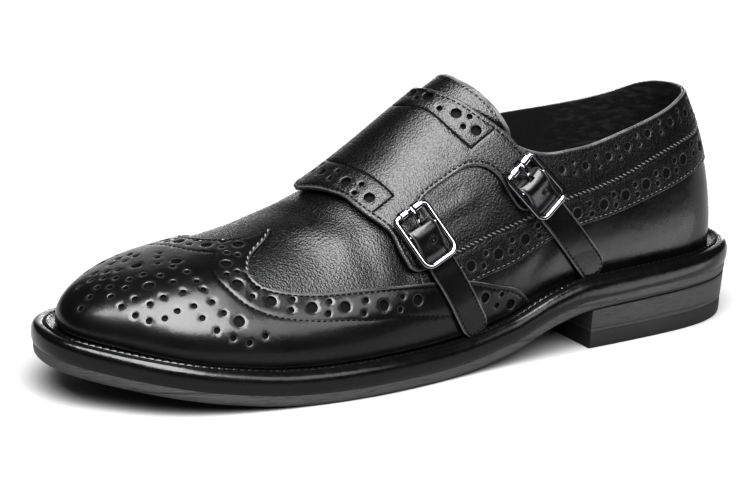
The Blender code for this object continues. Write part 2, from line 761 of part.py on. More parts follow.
def slab(lower, upper):
    """A closed solid between two grids of places."""
    rows, columns = len(lower), len(lower[0])
    size = rows * columns
    points = [p for row in upper for p in row] + [p for row in lower for p in row]
    top = [(i * columns + j, (i + 1) * columns + j, (i + 1) * columns + j + 1, i * columns + j + 1)
           for i in range(rows - 1) for j in range(columns - 1)]
    faces = list(top) + [tuple(c + size for c in face[::-1]) for face in top]
    edges = {(a, b) for face in top for a, b in zip(face, face[1:] + face[:1])}
    faces += [(b, a, a + size, b + size) for a, b in sorted(edges) if (b, a) not in edges]
    return points, faces


def hide(thing):
    thing.hide_render = True
    thing.display_type = "WIRE"


def sweep(path, section, closed):
    """Carry a section, given in each place's own two directions, along a path of places."""
    points = []
    for place, side, out in path:
        points += [place + side * a + out * b for a, b in section]
    size, count = len(section), len(path)
    faces = []
    for i in range(count if closed else count - 1):
        j = (i + 1) % count
        for k in range(size):
            m = (k + 1) % size
            faces.append((i * size + k, i * size + m, j * size + m, j * size + k))
    if not closed:
        faces.append(tuple(range(size))[::-1])
        faces.append(tuple((count - 1) * size + k for k in range(size)))
    return points, faces


def ring_section(radius_a, radius_b, sides):
    turns = [2 * math.pi * (i + 0.5) / sides for i in range(sides)]
    return [(radius_a * math.cos(a), radius_b * math.sin(a)) for a in turns]


def build_buckle(name, spec):
    """Rounded frame with its bar, a two-part roller on the flap side, and the prong."""
    axes = buckle_axes(spec)
    _, down, across, out = axes
    path = []
    for corner, (su, ss) in enumerate(((1, 1), (-1, 1), (-1, -1), (1, -1))):
        radius = FRAME_CORNERS[0 if su > 0 else 1]
        for i in range(5):
            turn = math.radians(90 * corner + 22.5 * i)
            cu, cs = math.cos(turn), math.sin(turn)
            u = su * (FRAME_HALF_LENGTH - radius) + radius * cu
            s = ss * (FRAME_HALF_WIDTH - radius) + radius * cs
            path.append((to_world(axes, u, s, FRAME_HEIGHT), down * cu + across * cs, out))
    points, faces = sweep(path, ring_section(*FRAME_SECTION, 8), True)
    frame = add_solid("buckle_frame_" + name, points, [f[::-1] for f in faces], "black_nickel")

    bar_path = [(to_world(axes, BAR_AT, s, FRAME_HEIGHT), down, out)
                for s in (-FRAME_HALF_WIDTH, FRAME_HALF_WIDTH)]
    points, faces = sweep(bar_path, ring_section(BAR_RADIUS, BAR_RADIUS * 0.9, 8), False)
    bar = add_solid("buckle_bar_guide_" + name, points, [f[::-1] for f in faces], "black_nickel")
    hide(bar)
    join = frame.modifiers.new("bar", "BOOLEAN")
    join.operation = "UNION"
    join.object = bar

    sides = 10
    for number, way in ((1, 1), (2, -1)):
        rings = []
        for s in ROLLER_SPAN:
            for radius in (ROLLER_OUTER, ROLLER_INNER):
                rings.append([to_world(axes, -FRAME_HALF_LENGTH + a, way * s, FRAME_HEIGHT + b)
                              for a, b in ring_section(radius, radius, sides)])
        points = [p for ring in rings for p in ring]
        faces = []
        for first, second in ((0, 2), (3, 1), (2, 3), (1, 0)):
            for k in range(sides):
                m = (k + 1) % sides
                face = (first * sides + k, first * sides + m, second * sides + m, second * sides + k)
                faces.append(face[::-way])
        add_solid(f"buckle_roller_{name}_{number}", points, faces, "black_nickel")

    half_w, half_t = PRONG_HALF_WIDTH, PRONG_HALF_THICK
    section = [(-half_w, -half_t), (half_w, -half_t), (half_w, half_t), (-half_w, half_t)]
    prong_path = []
    for i, (u, h) in enumerate(PRONG_PATH):
        u0, h0 = PRONG_PATH[max(i - 1, 0)]
        u1, h1 = PRONG_PATH[min(i + 1, len(PRONG_PATH) - 1)]
        ahead = down * (u1 - u0) + out * (h1 - h0)
        ahead /= np.linalg.norm(ahead)
        prong_path.append((to_world(axes, u, 0.0, h), across, np.cross(across, ahead)))
    points, faces = sweep(prong_path, section, False)
    add_solid("buckle_prong_" + name, points, [f[::-1] for f in faces], "black_nickel")


# ---------------------------------------------------------------- the shoe
def main():
    clear_scene()
    even = [i / STATIONS for i in range(STATIONS + 1)]
    extra = [station(THROAT_SIDE_X), station(THROAT_X)]
    stations = [t for t in even if min(abs(t - other) for other in extra) > 0.3 / STATIONS]
    stations = sorted(stations + extra)
    build_bottom(stations)
    build_upper(stations)
    build_wingtip(stations)
    build_flap()
    build_tongue()
    tree = outer_side_tree()
    for name, spec in BUCKLES.items():
        build_tab("buckle_tab_" + name, spec, tree)
        build_buckle(name, spec)


main()
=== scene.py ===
"""Left double monk-strap wingtip shoe: the finished leather, buckles and sole over its solids.

Laid out as an add-on and run as a script.  +X points to the toe, +Y to the outer side and +Z up.
Shapes are worked out in millimetres on the shoe's last and written in metres.  A place on the
last is charted by x, its station from the heel back, and w: 1 on the outer feather line, 0 on
the ridge over the instep and -1 on the inner feather line.
"""
import math

import bpy
import numpy as np
from bpy.props import FloatProperty, FloatVectorProperty, PointerProperty
from bpy.types import Operator, Panel, PropertyGroup
from mathutils import Matrix, Vector, geometry
from mathutils.bvhtree import BVHTree


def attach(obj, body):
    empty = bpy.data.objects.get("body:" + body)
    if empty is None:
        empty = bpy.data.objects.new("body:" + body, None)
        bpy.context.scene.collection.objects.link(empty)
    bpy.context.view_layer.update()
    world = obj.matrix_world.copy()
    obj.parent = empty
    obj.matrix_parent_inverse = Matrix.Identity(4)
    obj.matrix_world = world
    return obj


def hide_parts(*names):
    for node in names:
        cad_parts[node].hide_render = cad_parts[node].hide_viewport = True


bl_info = {
    "name": "Monk-strap shoe maker",
    "version": (1, 0, 0),
    "blender": (4, 5, 0),
    "location": "3D View > Sidebar > Shoe",
    "description": "Makes the leather, stitches, buckles and sole of a left double monk-strap shoe",
    "category": "Object",
}

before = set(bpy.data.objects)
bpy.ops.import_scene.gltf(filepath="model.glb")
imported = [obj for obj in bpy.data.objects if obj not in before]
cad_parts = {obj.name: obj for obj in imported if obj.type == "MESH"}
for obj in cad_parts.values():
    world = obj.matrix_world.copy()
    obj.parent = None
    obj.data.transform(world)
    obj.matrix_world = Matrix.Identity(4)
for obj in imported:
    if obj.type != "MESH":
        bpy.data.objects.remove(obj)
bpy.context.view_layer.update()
MM = 0.001
WELD, FINE_WELD = 2e-6, 1e-7    # metres
FAR = 1e9
CHUNK = 4000        # places measured at once

# ---------------- the last, as in the solids
FEATHER_LENGTH = 288.0
HALF_LENGTH = FEATHER_LENGTH / 2
HEEL_ROUND, TOE_ROUND = 62.0, 66.0
MIDDLE_Y = -1.65
RIDGE_HEEL_END, RIDGE_TOE_END, RIDGE_SOFTNESS = 34.0, 250.0, 10.0
FEATHER_LEVEL, TOE_DRAWN = 12.5, 2.0
TOE_DRAWN_FROM, TOE_DRAWN_OVER = 235.0, 50.0
THROAT_X = 148.0
BREAST_X = 79.0

# x, outer and inner half width of the feather line
FEATHER = [(12, 20.8, 21.5), (40, 29.0, 30.0), (75, 32.5, 30.5), (110, 35.5, 27.0),
           (145, 40.0, 28.0), (180, 44.8, 34.0), (210, 44.3, 40.5), (240, 40.3, 41.0),
           (262, 32.4, 34.5), (279, 18.5, 21.5)]
# x, height of the sole's underside
UNDERSIDE = [(-8, 17.8), (60, 16.6), (80, 15.8), (95, 12.8), (120, 4.4), (145, 0.5), (158, 0.0),
             (196, 0.0), (215, 0.6), (240, 3.6), (265, 8.0), (288, 12.2), (296, 14.0)]
# x, ridge height, ridge shift, bulge, wall, crown
SECTIONS = [(0, 111.3, 0.0, 0.6, 0.45, 14.4), (30, 113.1, 0.0, 3.6, 0.45, 16.2),
            (70, 115.3, -1.0, 5.6, 0.42, 17.9), (105, 114.6, -2.0, 5.5, 0.40, 20.4),
            (140, 95.4, -4.0, 6.0, 0.37, 22.3), (175, 70.4, -4.5, 6.0, 0.40, 25.7),
            (205, 56.2, -4.0, 6.0, 0.44, 27.3), (235, 49.8, -3.0, 5.3, 0.50, 27.3),
            (262, 43.6, -2.5, 2.3, 0.50, 26.2), (288, 30.7, -2.0, 0.8, 0.50, 21.1)]
# x, outer and inner topline: how far up its rib the upper goes
TOPLINE = [(0, .600, .600), (10, .589, .590), (20, .572, .568), (30, .546, .537),
           (42, .516, .510), (55, .488, .494), (67, .463, .484), (78, .445, .476),
           (88, .443, .472), (97, .455, .478), (104, .487, .498), (111, .540, .545),
           (118, .615, .620), (126, .722, .722), (135, .845, .845), (143, .955, .955),
           (148, 1.0, 1.0)]

# ---------------- layers (mm over the last)
SHELL_SKIN, SHELL_WALL = -0.6, 2.0
# the rolled collar: how far below the edge, height of the face over the last
COLLAR_RIM = [(2.4, -0.6), (1.2, -0.6), (0.5, -0.66), (0.15, -0.82), (0.0, -1.1), (0.15, -1.4),
              (0.6, -1.6), (2.0, -1.8), (5.0, -2.2), (9.0, -2.6)]
# the last of these: how far below the collar's edge it is painted lighter, partly wear, partly a
# painted highlight
RIM_MIDDLE, RIM_EASE, RIM_RUB_HIGHLIGHT_WIDTH = -1.5, 5.0, 1.6
PRESS_AT, PRESS_DEPTH, PRESS_WIDTH = 1.0, 1.1, 5.0
SMOOTH_BEHIND_X, SMOOTH_BELOW_W = 150, .6
QUARTER_LAYER = (-0.5, 0.1)
WING_LAYER = (-0.5, 0.75)
FLAP_LAYER = (0.2, 2.0)
TONGUE_THICK, TONGUE_HALF_W, TONGUE_END_X = 1.6, .54, 162.0
# how far the tongue is tucked under, and the w and the run of x over which it comes up
TONGUE_TUCK, TONGUE_TUCK_W, TONGUE_TUCK_FROM_X, TONGUE_TUCK_OVER = 3.9, 0.05, 147.0, 8.0
TONGUE_ROLL, TONGUE_ROLL_WIDTH = 0.55, 1.2

# ---------------- cut panels (mm)
# the last of these: how far in from a cut edge it is painted lighter, partly wear, partly a painted
# highlight
EDGE_ROLL_WIDTH, EDGE_RUB_HIGHLIGHT_WIDTH = 0.55, 0.3
EDGE_BEAD, EDGE_BEAD_AT, EDGE_BEAD_WIDTH = 0.1, 0.45, 0.3
STITCH_INSET, STITCH_DIP, STITCH_DIP_WIDTH = 1.4, 0.12, 0.4
PUNCH_ROOM, PUNCH_LIP, PUNCH_FLOOR = 0.45, 0.32, 0.12
# the last two: how much and how far round a hole's rim it is painted lighter, partly wear, partly a
# painted highlight
PUNCH_SINK, PUNCH_SINK_WIDTH, PUNCH_RUB_HIGHLIGHT, PUNCH_RUB_HIGHLIGHT_WIDTH = 0.16, 0.4, 0.45, 0.25
LARGE_RADIUS, LARGE_SIDES, SMALL_SIDES = 1.2, 20, 12     # sides of a hole's ring
# grooves: depth and half width; those narrower than the painted-shade threshold are painted black
# as shade in the groove
STITCH_GROOVE, QUARTER_GROOVE, CAP_GROOVE = (0.05, 0.42), (0.2, 0.45), (0.2, 0.55)
BAND_GROOVE, PAINTED_SHADE_GROOVE, GROOVE_STEEPNESS = (0.3, 0.33), 0.4, 1.1
QUARTER_GROOVE_INSET = 1.2
# small punches: distance from the middle of a band
BAND_REACH, FLAP_BAND_REACH = 2.1, 1.9
UPPER_BAND_SHARE = .74      # of the punches' size, in the quarter's upper band
# along the collar: how far forward a line goes, and how far below the edge it lies
QUARTER_UNDER_COLLAR, COLLAR_STITCHES = (133, 0.55), (128, 1.9)

# ---------------- stitches
# pitch and length as shares of the stitch pitch, thickness as a share of the thread's, and how
# far the stitches sink into the leather in mm
STITCHES = {
    "edge": (.8, .6, 1, .12), "peak": (1, .75, 1.3, .02), "cap": (.8, .55, 1, .2),
    "band": (.75, .55, 1, .24), "seam": (.72, .78, .85, .05), "beside": (.7, .5, .8, .02),
    "fine": (.85, .55, .5, .04), "rim": (.75, .5, .8, 0), "tab": (.7, .48, .85, -.02),
}
PEAK_INSET, PEAK_SLANT, SEAM_SLANT = .7, .3, .62
BESIDE_INSET, FINE_INSET, TAB_STITCH_INSET = 3.1, 1.3, 1.3
TONGUE_STITCH_W, TONGUE_STITCH_INSET = .42, 2.2
# the welt's thread, in mm: out and up from the feather line, length, and share of the thread's
# thickness; it leans outwards a little
WELT_THREAD_OUT, WELT_THREAD_UP, WELT_THREAD_LENGTH, WELT_THREAD_THICK = 2.6, 13.0, 2.8, 1.6
WELT_THREAD_LEAN, WELT_THREAD_SLANT = 0.25, .2

# ---------------- seams and edges (x, w)
WING_OUTER = [(107, .985), (113, .916), (121, .870), (135, .799), (155, .730), (172, .675),
              (191, .609), (202.5, .570), (211.5, .530), (217.6, .491), (221.8, .438),
              (223.1, .36)]
PEAK_OUTER = [(223.1, .36), (219.7, .274), (214.9, .221), (210.8, .190), (206.9, .153),
              (204.8, .128)]
PEAK_INNER = [(204.8, .128), (211.8, .108), (216.7, .098), (220.2, .085), (224.2, .052),
              (227.9, .010), (230.6, -.045), (231.8, -.12), (230.5, -.20)]
WING_INNER = [(230.5, -.20), (226, -.300), (216, -.430), (205, -.520), (192, -.585),
              (173, -.660), (156, -.718), (135, -.795), (121, -.870), (113, -.916),
              (107, -.985)]
CAP_LINE_OUTER = [(230.4, .164), (233.0, .211), (236.0, .275), (236.3, .341), (233.8, .455),
                  (230.4, .545), (225.1, .615), (218.6, .662), (210.8, .696), (201.6, .726),
                  (191.9, .753), (181.9, .786), (173.9, .803), (160, .843), (147, .883),
                  (136, .925), (129, .972)]
CAP_LINE_TOP = [(230.4, .164), (236.0, .110), (240.7, .042), (243.8, -.04), (245.6, -.12),
                (246, -.19)]
CAP_LINE_INNER = [(246, -.19), (244, -.30), (238, -.41), (231, -.50), (222, -.59), (210, -.665),
                  (192, -.735), (174, -.790), (160, -.835), (147, -.878), (136, -.922),
                  (129, -.972)]
FLAP_FRONT = [(157, -.70), (164, -.5), (174, -.32), (182.0, -.17), (185.0, -.09), (184.0, -.01),
              (181.6, .065), (179.2, .14), (177.0, .20), (175.3, .27), (173.0, .345),
              (169.8, .415), (167.0, .475), (166.0, .515), (165.4, .56), (164.2, .605),
              (163.0, .642)]
FRONT_STRAP_END = [(163.0, .642), (160.8, .663), (157, .674), (152.5, .668), (149.2, .654),
                   (147.8, .628)]
CUT_EDGE = [(147.8, .628), (149.3, .585), (151.3, .530), (152.9, .475), (152.6, .448),
            (149.5, .436), (145.5, .434), (139.8, .436), (132.7, .443), (127.0, .466),
            (121.4, .512), (118.2, .56), (115.2, .62), (113.3, .652)]
REAR_STRAP_END = [(113.3, .652), (110.8, .676), (107.5, .688), (102, .684), (98.2, .666),
                  (97.4, .640)]
FLAP_REAR = [(97.4, .640), (99.8, .605), (103.3, .56), (107, .515), (109.5, .482), (111.8, .445),
             (116.4, .381), (121, .314), (124.5, .247), (128, .174), (131.6, .087), (133.4, .01),
             (133.9, -.074), (131.5, -.14), (125.5, -.25), (113, -.45), (105.5, -.6), (101, -.70)]
FLAP_INNER_END = [(101, -.70), (120, -.705), (139, -.705), (157, -.70)]
FRONT_BAND = [(150, -.56), (156.5, -.42), (163, -.29), (168.2, -.167), (170.3, -.06),
              (169.4, .06), (165.8, .197), (161.1, .358)]
FRONT_BAND_END = [(161.1, .358), (170.6, .362)]
REAR_BAND = [(112.5, -.60), (121, -.46), (132, -.27), (142.2, -.10), (143.0, -.03),
             (141, .05), (137.5, .157), (133.9, .278), (128, .401)]
REAR_BAND_END = [(128, .401), (118.2, .392)]
LINE_1 = [(0, .572), (13.6, .575), (32.3, .605), (44.6, .632), (62, .676), (75.2, .699),
          (89.6, .712), (108.3, .712), (118.7, .699), (130.4, .686), (141, .679), (157, .672)]
LINE_2 = [(0, .700), (17, .709), (32.9, .742), (46.2, .766), (57.6, .786), (69.4, .803),
          (81.3, .813), (101.6, .823), (116.4, .823), (126.9, .813), (140, .810), (155, .812)]
# the quarter's front edge below the collar
QUARTER_FRONT = [(140, .14), (150, .33), (157.5, .50), (158.8, .60), (158.2, .70), (155.0, .812)]
WING_EDGES = (WING_OUTER, PEAK_INNER, WING_INNER)
CAP_LINES = (CAP_LINE_OUTER, CAP_LINE_TOP, CAP_LINE_INNER)
FLAP_EDGES = (FLAP_FRONT, FRONT_STRAP_END, CUT_EDGE, REAR_STRAP_END, FLAP_REAR)
FLAP_BANDS = (FRONT_BAND, FRONT_BAND_END, REAR_BAND, REAR_BAND_END)
# w, x of the tongue's top edge, the same on both sides
TONGUE_TOP = [(0.0, 123.8), (0.1, 122.6), (0.177, 119.9), (0.271, 116.2), (0.348, 113.0),
              (0.418, 110.6), (0.48, 109.0), (0.54, 108.5)]

# ---------------- punched holes (x, w)
CAP_LARGE = [(284.5, .124), (249.1, .137), (266.6, .341), (233.8, .666), (237, -.60),
             (270, -.37)]
CAP_SMALL = [
    (271.4, -.1), (280.7, -.154), (279.5, -.244), (257.5, 0), (261.5, .043), (262, .11),
    (252.5, .177), (247, .258), (288, .224), (286.9, -.291), (284.7, -.371), (287.3, -.415),
    (288, .338), (286, .294), (278.1, .278), (271.4, .217), (260.9, .244), (287.3, -.518),
    (287.3, .435), (284, .395), (277, .375), (255.1, .324), (244.8, .351), (286.7, .545),
    (280.7, .485), (271.4, .472), (260.4, .448), (251.8, .418), (243.4, .421), (275.4, .565),
    (265.6, .512), (255.7, .569), (249.1, .535), (241.8, .518), (286.6, .682), (270.2, .632),
    (260.4, .635), (247, .629), (238.7, .602), (265.6, .669), (242.6, .722), (237.1, .776),
    (231.3, .809), (225.1, .766), (266, -.16), (272, -.21), (262, -.30), (255, -.36),
    (275.4, -.47), (265.6, -.50), (255.7, -.54), (247, -.49), (246, -.66), (260.4, -.63),
    (272, -.60), (240, -.72), (232, -.75)]
BAND_LARGE_OUTER = [(161.1, .773), (176.2, .739), (191.9, .686), (204.7, .642), (219.5, .562),
                    (229.5, .421), (229.5, .268), (219.8, .148)]
BAND_LARGE_TOP = [(219.8, .148), (230.6, .066), (237.5, -.075), (238.5, -.205)]
BAND_LARGE_INNER = [(238.5, -.205), (233.5, -.375), (221.5, -.505), (207, -.60), (191, -.665),
                    (176, -.722), (161, -.775), (146, -.832), (130, -.893)]
BAND_END_LARGE = [(129.2, .880), (116.4, .953)]
BAND_END_SMALL = [(121, .900), (123.3, .930)]
QUARTER_LARGE_A = [(5.1, .485), (18.5, .496), (32, .517), (46.2, .544), (57.6, .579),
                   (67.5, .602), (79.2, .622), (90.7, .616)]
QUARTER_LARGE_B = [(11.3, .635), (27.1, .662), (38.2, .696), (49.3, .719), (60.2, .742),
                   (71.3, .759), (84.4, .769), (96.9, .772), (109.5, .770), (122.2, .763),
                   (135.1, .749), (147.5, .745)]
FRONT_BAND_LARGE = [(159, -.48), (165.5, -.35), (172.5, -.20), (175.6, -.03), (173.0, .151),
                    (169.2, .298)]
REAR_BAND_LARGE = [(117.3, -.45), (125.2, -.31), (132.6, -.175), (136.9, -.035), (134.8, .085),
                   (129.3, .252), (124.4, .358)]

# ---------------- tabs and buckles
TAB_HALF, TAB_HALF_IN_BUCKLE, TAB_THICK = 6.0, 5.9, 1.25
TAB_REACH, TAB_ROUND = 3.2, 5.2
TAB_OVER_STRAP, TAB_START = 2.05, -4.6
FOLD_RISE, FOLD_TOP, FOLD_END, FOLD_ROUND = 3.2, -1.0, 8.0, 0.8
# the last of these: how far in from a tab's edge it is painted lighter, partly wear, partly a
# painted highlight
TAB_EDGE_DROP, TAB_EDGE_WIDTH, TAB_RUB_HIGHLIGHT_WIDTH = 0.35, 1.1, 0.5
TAB_CROWN, TAB_CROWN_AT, TAB_CROWN_REACH = 0.4, 1.0, 8
TAB_STRAIGHT_TO, TAB_STEP = 8.0, 0.4
EYELET_RING, EYELET_RADIUS, EYELET_RING_WIDTH = 0.16, 1.25, 0.4
EYELET_DEPTH, EYELET_WIDTH = 0.8, 0.75
BUCKLES = {
    "front": {"centre": (155.3, .555), "above": (158.8, .448), "below": (150.5, .659),
              "tab_end": (134.5, .968), "base": 1.45, "strap_end": 10.5,
              "eyelet": (152.9, .585)},
    "rear": {"centre": (106.1, .622), "above": (112.9, .532), "below": (99.4, .706),
             "tab_end": (76.4, .972), "base": .1, "strap_end": 10.0,
             "eyelet": (102.7, .652)},
}
FRAME_ENDS, FRAME_HALF_WIDTH, FRAME_CORNERS = (-10.1, 11.8), 7.5, (3.3, 1.8)
FRAME_BAR, FRAME_HEIGHT, BAR_AT, BAR_RADIUS = (1.15, 1.35), 4.6, -1.5, 0.85
FRAME_SQUARENESS, PRONG_SQUARENESS = (0.8, 0.9), 0.6
# the prong's slot in the fold: from and to along the strap, and share of the half width
SLOT, SLOT_SHARE = (-4.7, -2.7), 1.35 / TAB_HALF_IN_BUCKLE
ROLLER_OUTER, ROLLER_BORE, ROLLER_TURNED, ROLLER_SPAN = 1.9, 1.35, 0.25, (1.45, 5.0)
PRONG_HALF_WIDTH, PRONG_TAPER, PRONG_HALF_THICK, PRONG_TIP_SHARE = 1.0, 0.2, 0.55, 0.07
PRONG_PATH = [(-3.25, 4.6), (-4.6, 5.3), (-6.4, 6.55), (-8.2, 7.2), (-9.9, 7.33), (-11.4, 6.95)]

# ---------------- the bottom
# (outwards from the feather line, up from the sole's underside), from the underside up
OUTSOLE_PROFILE = [(4.0, 0.0), (5.4, 0.0), (6.1, 0.25), (6.6, 0.8), (6.85, 1.6), (7.0, 2.8),
                   (7.0, 4.47), (4.0, 4.47)]
WELT_PROFILE = [(4.0, 4.5), (6.95, 4.5), (7.1, 4.75), (7.4, 5.4), (7.65, 6.5), (7.7, 8.0),
                (7.65, 9.4), (7.4, 10.6), (6.95, 11.6), (6.3, 12.35), (5.4, 12.8), (4.3, 12.95),
                (3.65, 12.85), (3.35, 12.5), (3.1, 12.85), (2.8, 13.15), (2.4, 13.2),
                (2.05, 12.95), (1.5, 12.2), (-2.0, 12.2)]
WELT_NOTCHED_ROWS, WELT_PITCH, WELT_NOTCH, NOTCH_STEEPNESS = range(14, 18), 2.7, 0.16, 2.2
INSOLE_PROFILE = [(-3.0, 12.5), (-3.0, 14.6), (-3.4, 15.0)]
# the heel: (outwards from the feather line, height over the floor)
LIFT_PROFILE = [(4.6, 0.0), (5.2, 0.15), (5.6, 0.8), (5.8, 2.5), (5.85, 6.75), (5.7, 7.0)]
STACK_FROM_Z, STACK_INTO_SOLE = 7.05, -0.05
STACK_FOOT, STACK_SIDE, STACK_FLARE, STACK_TOP = 5.7, 5.95, 0.75, 6.4
# places round the feather line
EDGE_COUNT, WELT_COUNT, INSOLE_COUNT, HEEL_COUNT, THREAD_COUNT = 700, 1500, 300, 900, 1400

# ---------------- studio
# name, place, aim (mm), width and height (mm), watts
SOFTBOXES = [
    ("overhead_softbox", (1750, 4300, 5000), (1750, 4300, 0), (5700, 9400), 2640.0),
    ("outer_softbox", (-1200, 2800, 1980), (0, 0, 60), (1600, 1950), 52.0),
    ("inner_backdrop", (-2100, -2600, 400), (-2100, 0, 400), (2500, 800), 66.0),
    ("inner_wall", (-1950, -2600, 1200), (-1950, 0, 1200), (3300, 2400), 26.0),
]
# name, cloth, (width, middle x), (depth, middle y) in metres: a black card keeps the pale floor
# on the outer side out of the leather's gloss, and a white one puts a glow low on the heel
CARDS = [
    ("black_flag", "flag_cloth", (2.6, -0.1), (1.5, 0.9)),
    ("white_card", "card_white", (0.22, -0.21), (0.09, 0.103)),
]
VIEW_GAMMA, AIR_STRENGTH = 0.7, 0.05
CAMERA_TURN = (150.02, 16.0, 1.66)      # azimuth, elevation and roll in degrees
CAMERA_AIM, CAMERA_DISTANCE, CAMERA_LENS = (11.95, -1.62, 43.6), 952, 117.9

# ---------------- creases
# soft troughs (minus) and ridges (plus): from, to, half width, depth in mm
CREASES = [
    ((190, .12), (178, .34), 5.0, -0.55),
    ((196, .20), (184, .40), 4.5, 0.35),
    ((197, -.05), (193, .10), 6.0, -0.40),
    ((205, .22), (196, .42), 7.0, -0.35),
    ((178, .44), (176, .58), 5.0, -0.45),
    ((150, .48), (137, .50), 2.6, -0.24),
    ((148, .53), (131, .55), 2.8, 0.2),
    ((147, .57), (129, .60), 3.0, -0.2),
    ((160, .10), (150, .22), 5.0, -0.30),
    ((152, .18), (141, .31), 4.5, 0.25),
    ((148, .30), (138, .40), 4.0, -0.30),
    ((190, -.20), (182, -.42), 6.0, -0.45),
    ((200, -.30), (192, -.50), 6.0, 0.30),
    ((93, .80), (106, .90), 4.0, -0.25),
]


# ---------------- curves
def natural_curve(table_x, table_y):
    """A natural cubic spline through the rows of a table."""
    xs = np.asarray(table_x, float)
    ys = np.asarray(table_y, float)
    count = len(xs)
    step = np.diff(xs)
    matrix = np.eye(count)
    right = np.zeros(count)
    for i in range(1, count - 1):
        matrix[i, i - 1:i + 2] = step[i - 1], 2 * (step[i - 1] + step[i]), step[i]
        right[i] = 6 * ((ys[i + 1] - ys[i]) / step[i] - (ys[i] - ys[i - 1]) / step[i - 1])
    bend = np.linalg.solve(matrix, right)

    def value(x):
        x = np.clip(np.asarray(x, float), xs[0], xs[-1])
        i = np.clip(np.searchsorted(xs, x) - 1, 0, count - 2)
        a = (xs[i + 1] - x) / step[i]
        b = (x - xs[i]) / step[i]
        cubic = ((a ** 3 - a) * bend[i] + (b ** 3 - b) * bend[i + 1]) * step[i] ** 2 / 6
        return a * ys[i] + b * ys[i + 1] + cubic

    return value


def flat_curve(table_x, table_y):
    """A cubic through the rows that never overshoots, so level stretches stay level."""
    xs = np.asarray(table_x, float)
    ys = np.asarray(table_y, float)
    slope = np.diff(ys) / np.diff(xs)
    tangent = np.zeros(len(xs))
    tangent[0], tangent[-1] = slope[0], slope[-1]
    for i in range(1, len(xs) - 1):
        if slope[i - 1] * slope[i] > 0:
            tangent[i] = 2 * slope[i - 1] * slope[i] / (slope[i - 1] + slope[i])

    def value(x):
        x = np.clip(np.asarray(x, float), xs[0], xs[-1])
        i = np.clip(np.searchsorted(xs, x) - 1, 0, len(xs) - 2)
        width = xs[i + 1] - xs[i]
        s = (x - xs[i]) / width
        start = ys[i] * (1 + 2 * s) * (1 - s) ** 2 + tangent[i] * width * s * (1 - s) ** 2
        end = ys[i + 1] * s * s * (3 - 2 * s) + tangent[i + 1] * width * s * s * (s - 1)
        return start + end

    return value


def smooth_step(s):
    s = np.clip(s, 0.0, 1.0)
    return s * s * (3 - 2 * s)


def unit(ways):
    return ways / np.linalg.norm(ways, axis=-1, keepdims=True)


def along_line(marks, s, places):
    """Places at the marks, by length, along a line of places with the lengths s."""
    return np.stack([np.interp(marks, s, places[:, k]) for k in range(places.shape[1])], -1)


def bell(distance, width=1.0):
    """1 where the distance is nothing, falling softly to 0 over about two widths."""
    return np.exp(-(distance / width) ** 2)


def station(x):
    """The rib number, 0 at the heel back and 1 at the toe tip, whose foot is at x."""
    return np.arccos(np.clip(1 - 2 * np.asarray(x, float) / FEATHER_LENGTH, -1, 1)) / np.pi


def station_x(t):
    return FEATHER_LENGTH * (1 - np.cos(np.pi * np.asarray(t, float))) / 2


def column(table, index):
    return [row[index] for row in table]


def table_curve(table, index=1):
    return natural_curve(column(table, 0), column(table, index))


def side_widths(index, heel, toe):
    """Half width over the sine of the rib's turn, so that both ends close roundly."""
    ts = [0.0] + [float(station(row[0])) for row in FEATHER] + [1.0]
    ratio = [row[index] / math.sin(math.pi * t) for row, t in zip(FEATHER, ts[1:])]
    return natural_curve(ts, [heel] + ratio + [toe])


OUTER_WIDTH = side_widths(1, HEEL_ROUND, TOE_ROUND)
INNER_WIDTH = side_widths(2, HEEL_ROUND, TOE_ROUND)
UNDERSIDE_Z = flat_curve(column(UNDERSIDE, 0), column(UNDERSIDE, 1))
RIDGE_Z, RIDGE_Y, BULGE, WALL, CROWN = (table_curve(SECTIONS, i) for i in range(1, 6))
TOP_OUTER, TOP_INNER = table_curve(TOPLINE, 1), table_curve(TOPLINE, 2)


# ---------------- the last's surface
def feather_point(t, side):
    t = np.asarray(t, float)
    width = np.where(np.asarray(side) > 0, OUTER_WIDTH(t), INNER_WIDTH(t))
    return station_x(t) - HALF_LENGTH, side * width * np.sin(np.pi * t) + MIDDLE_Y


def ridge_x(x):
    """Where the rib that stands at x meets the ridge: never close to the heel or toe tip."""
    soft = RIDGE_SOFTNESS
    x = RIDGE_TOE_END - soft * np.log1p(np.exp((RIDGE_TOE_END - x) / soft))
    return RIDGE_HEEL_END + soft * np.log1p(np.exp((x - RIDGE_HEEL_END) / soft))


def last_point(t, side, v):
    """A point on the closed last: v is 0 at the feather line and 1 on the ridge."""
    t, side, v = np.broadcast_arrays(
        np.asarray(t, float), np.asarray(side, float), np.asarray(v, float))
    foot_x, foot_y = feather_point(t, side)
    x = foot_x + HALF_LENGTH
    on_ridge = ridge_x(x)
    top_x = on_ridge - HALF_LENGTH
    top_y = RIDGE_Y(on_ridge) + MIDDLE_Y
    top_z = RIDGE_Z(on_ridge)
    slope = (RIDGE_Z(on_ridge + 1) - RIDGE_Z(on_ridge - 1)) / 2
    out_x, out_y = foot_x - top_x, foot_y - top_y
    reach = np.hypot(out_x, out_y)
    out_x, out_y = out_x / reach, out_y / reach
    foot_z = UNDERSIDE_Z(x) + FEATHER_LEVEL
    bulge, wall, crown = BULGE(x), WALL(x) * (top_z - foot_z), CROWN(x)
    knots = (
        np.stack([foot_x, foot_y, foot_z], -1),
        np.stack([foot_x + out_x * bulge, foot_y + out_y * bulge, foot_z + wall], -1),
        np.stack([top_x + out_x * crown, top_y + out_y * crown,
                  top_z + slope * out_x * crown], -1),
        np.stack([top_x, top_y, top_z], -1),
    )
    v = v[..., None]
    u = 1 - v
    place = (u ** 3 * knots[0] + 3 * u * u * v * knots[1] + 3 * u * v * v * knots[2]
             + v ** 3 * knots[3])
    # the toe's foot is drawn in a little over the insole
    drawn = TOE_DRAWN * smooth_step(
        (x - TOE_DRAWN_FROM) / TOE_DRAWN_OVER)[..., None] * u * u
    return place - np.stack([out_x, out_y, np.zeros_like(out_x)], -1) * drawn


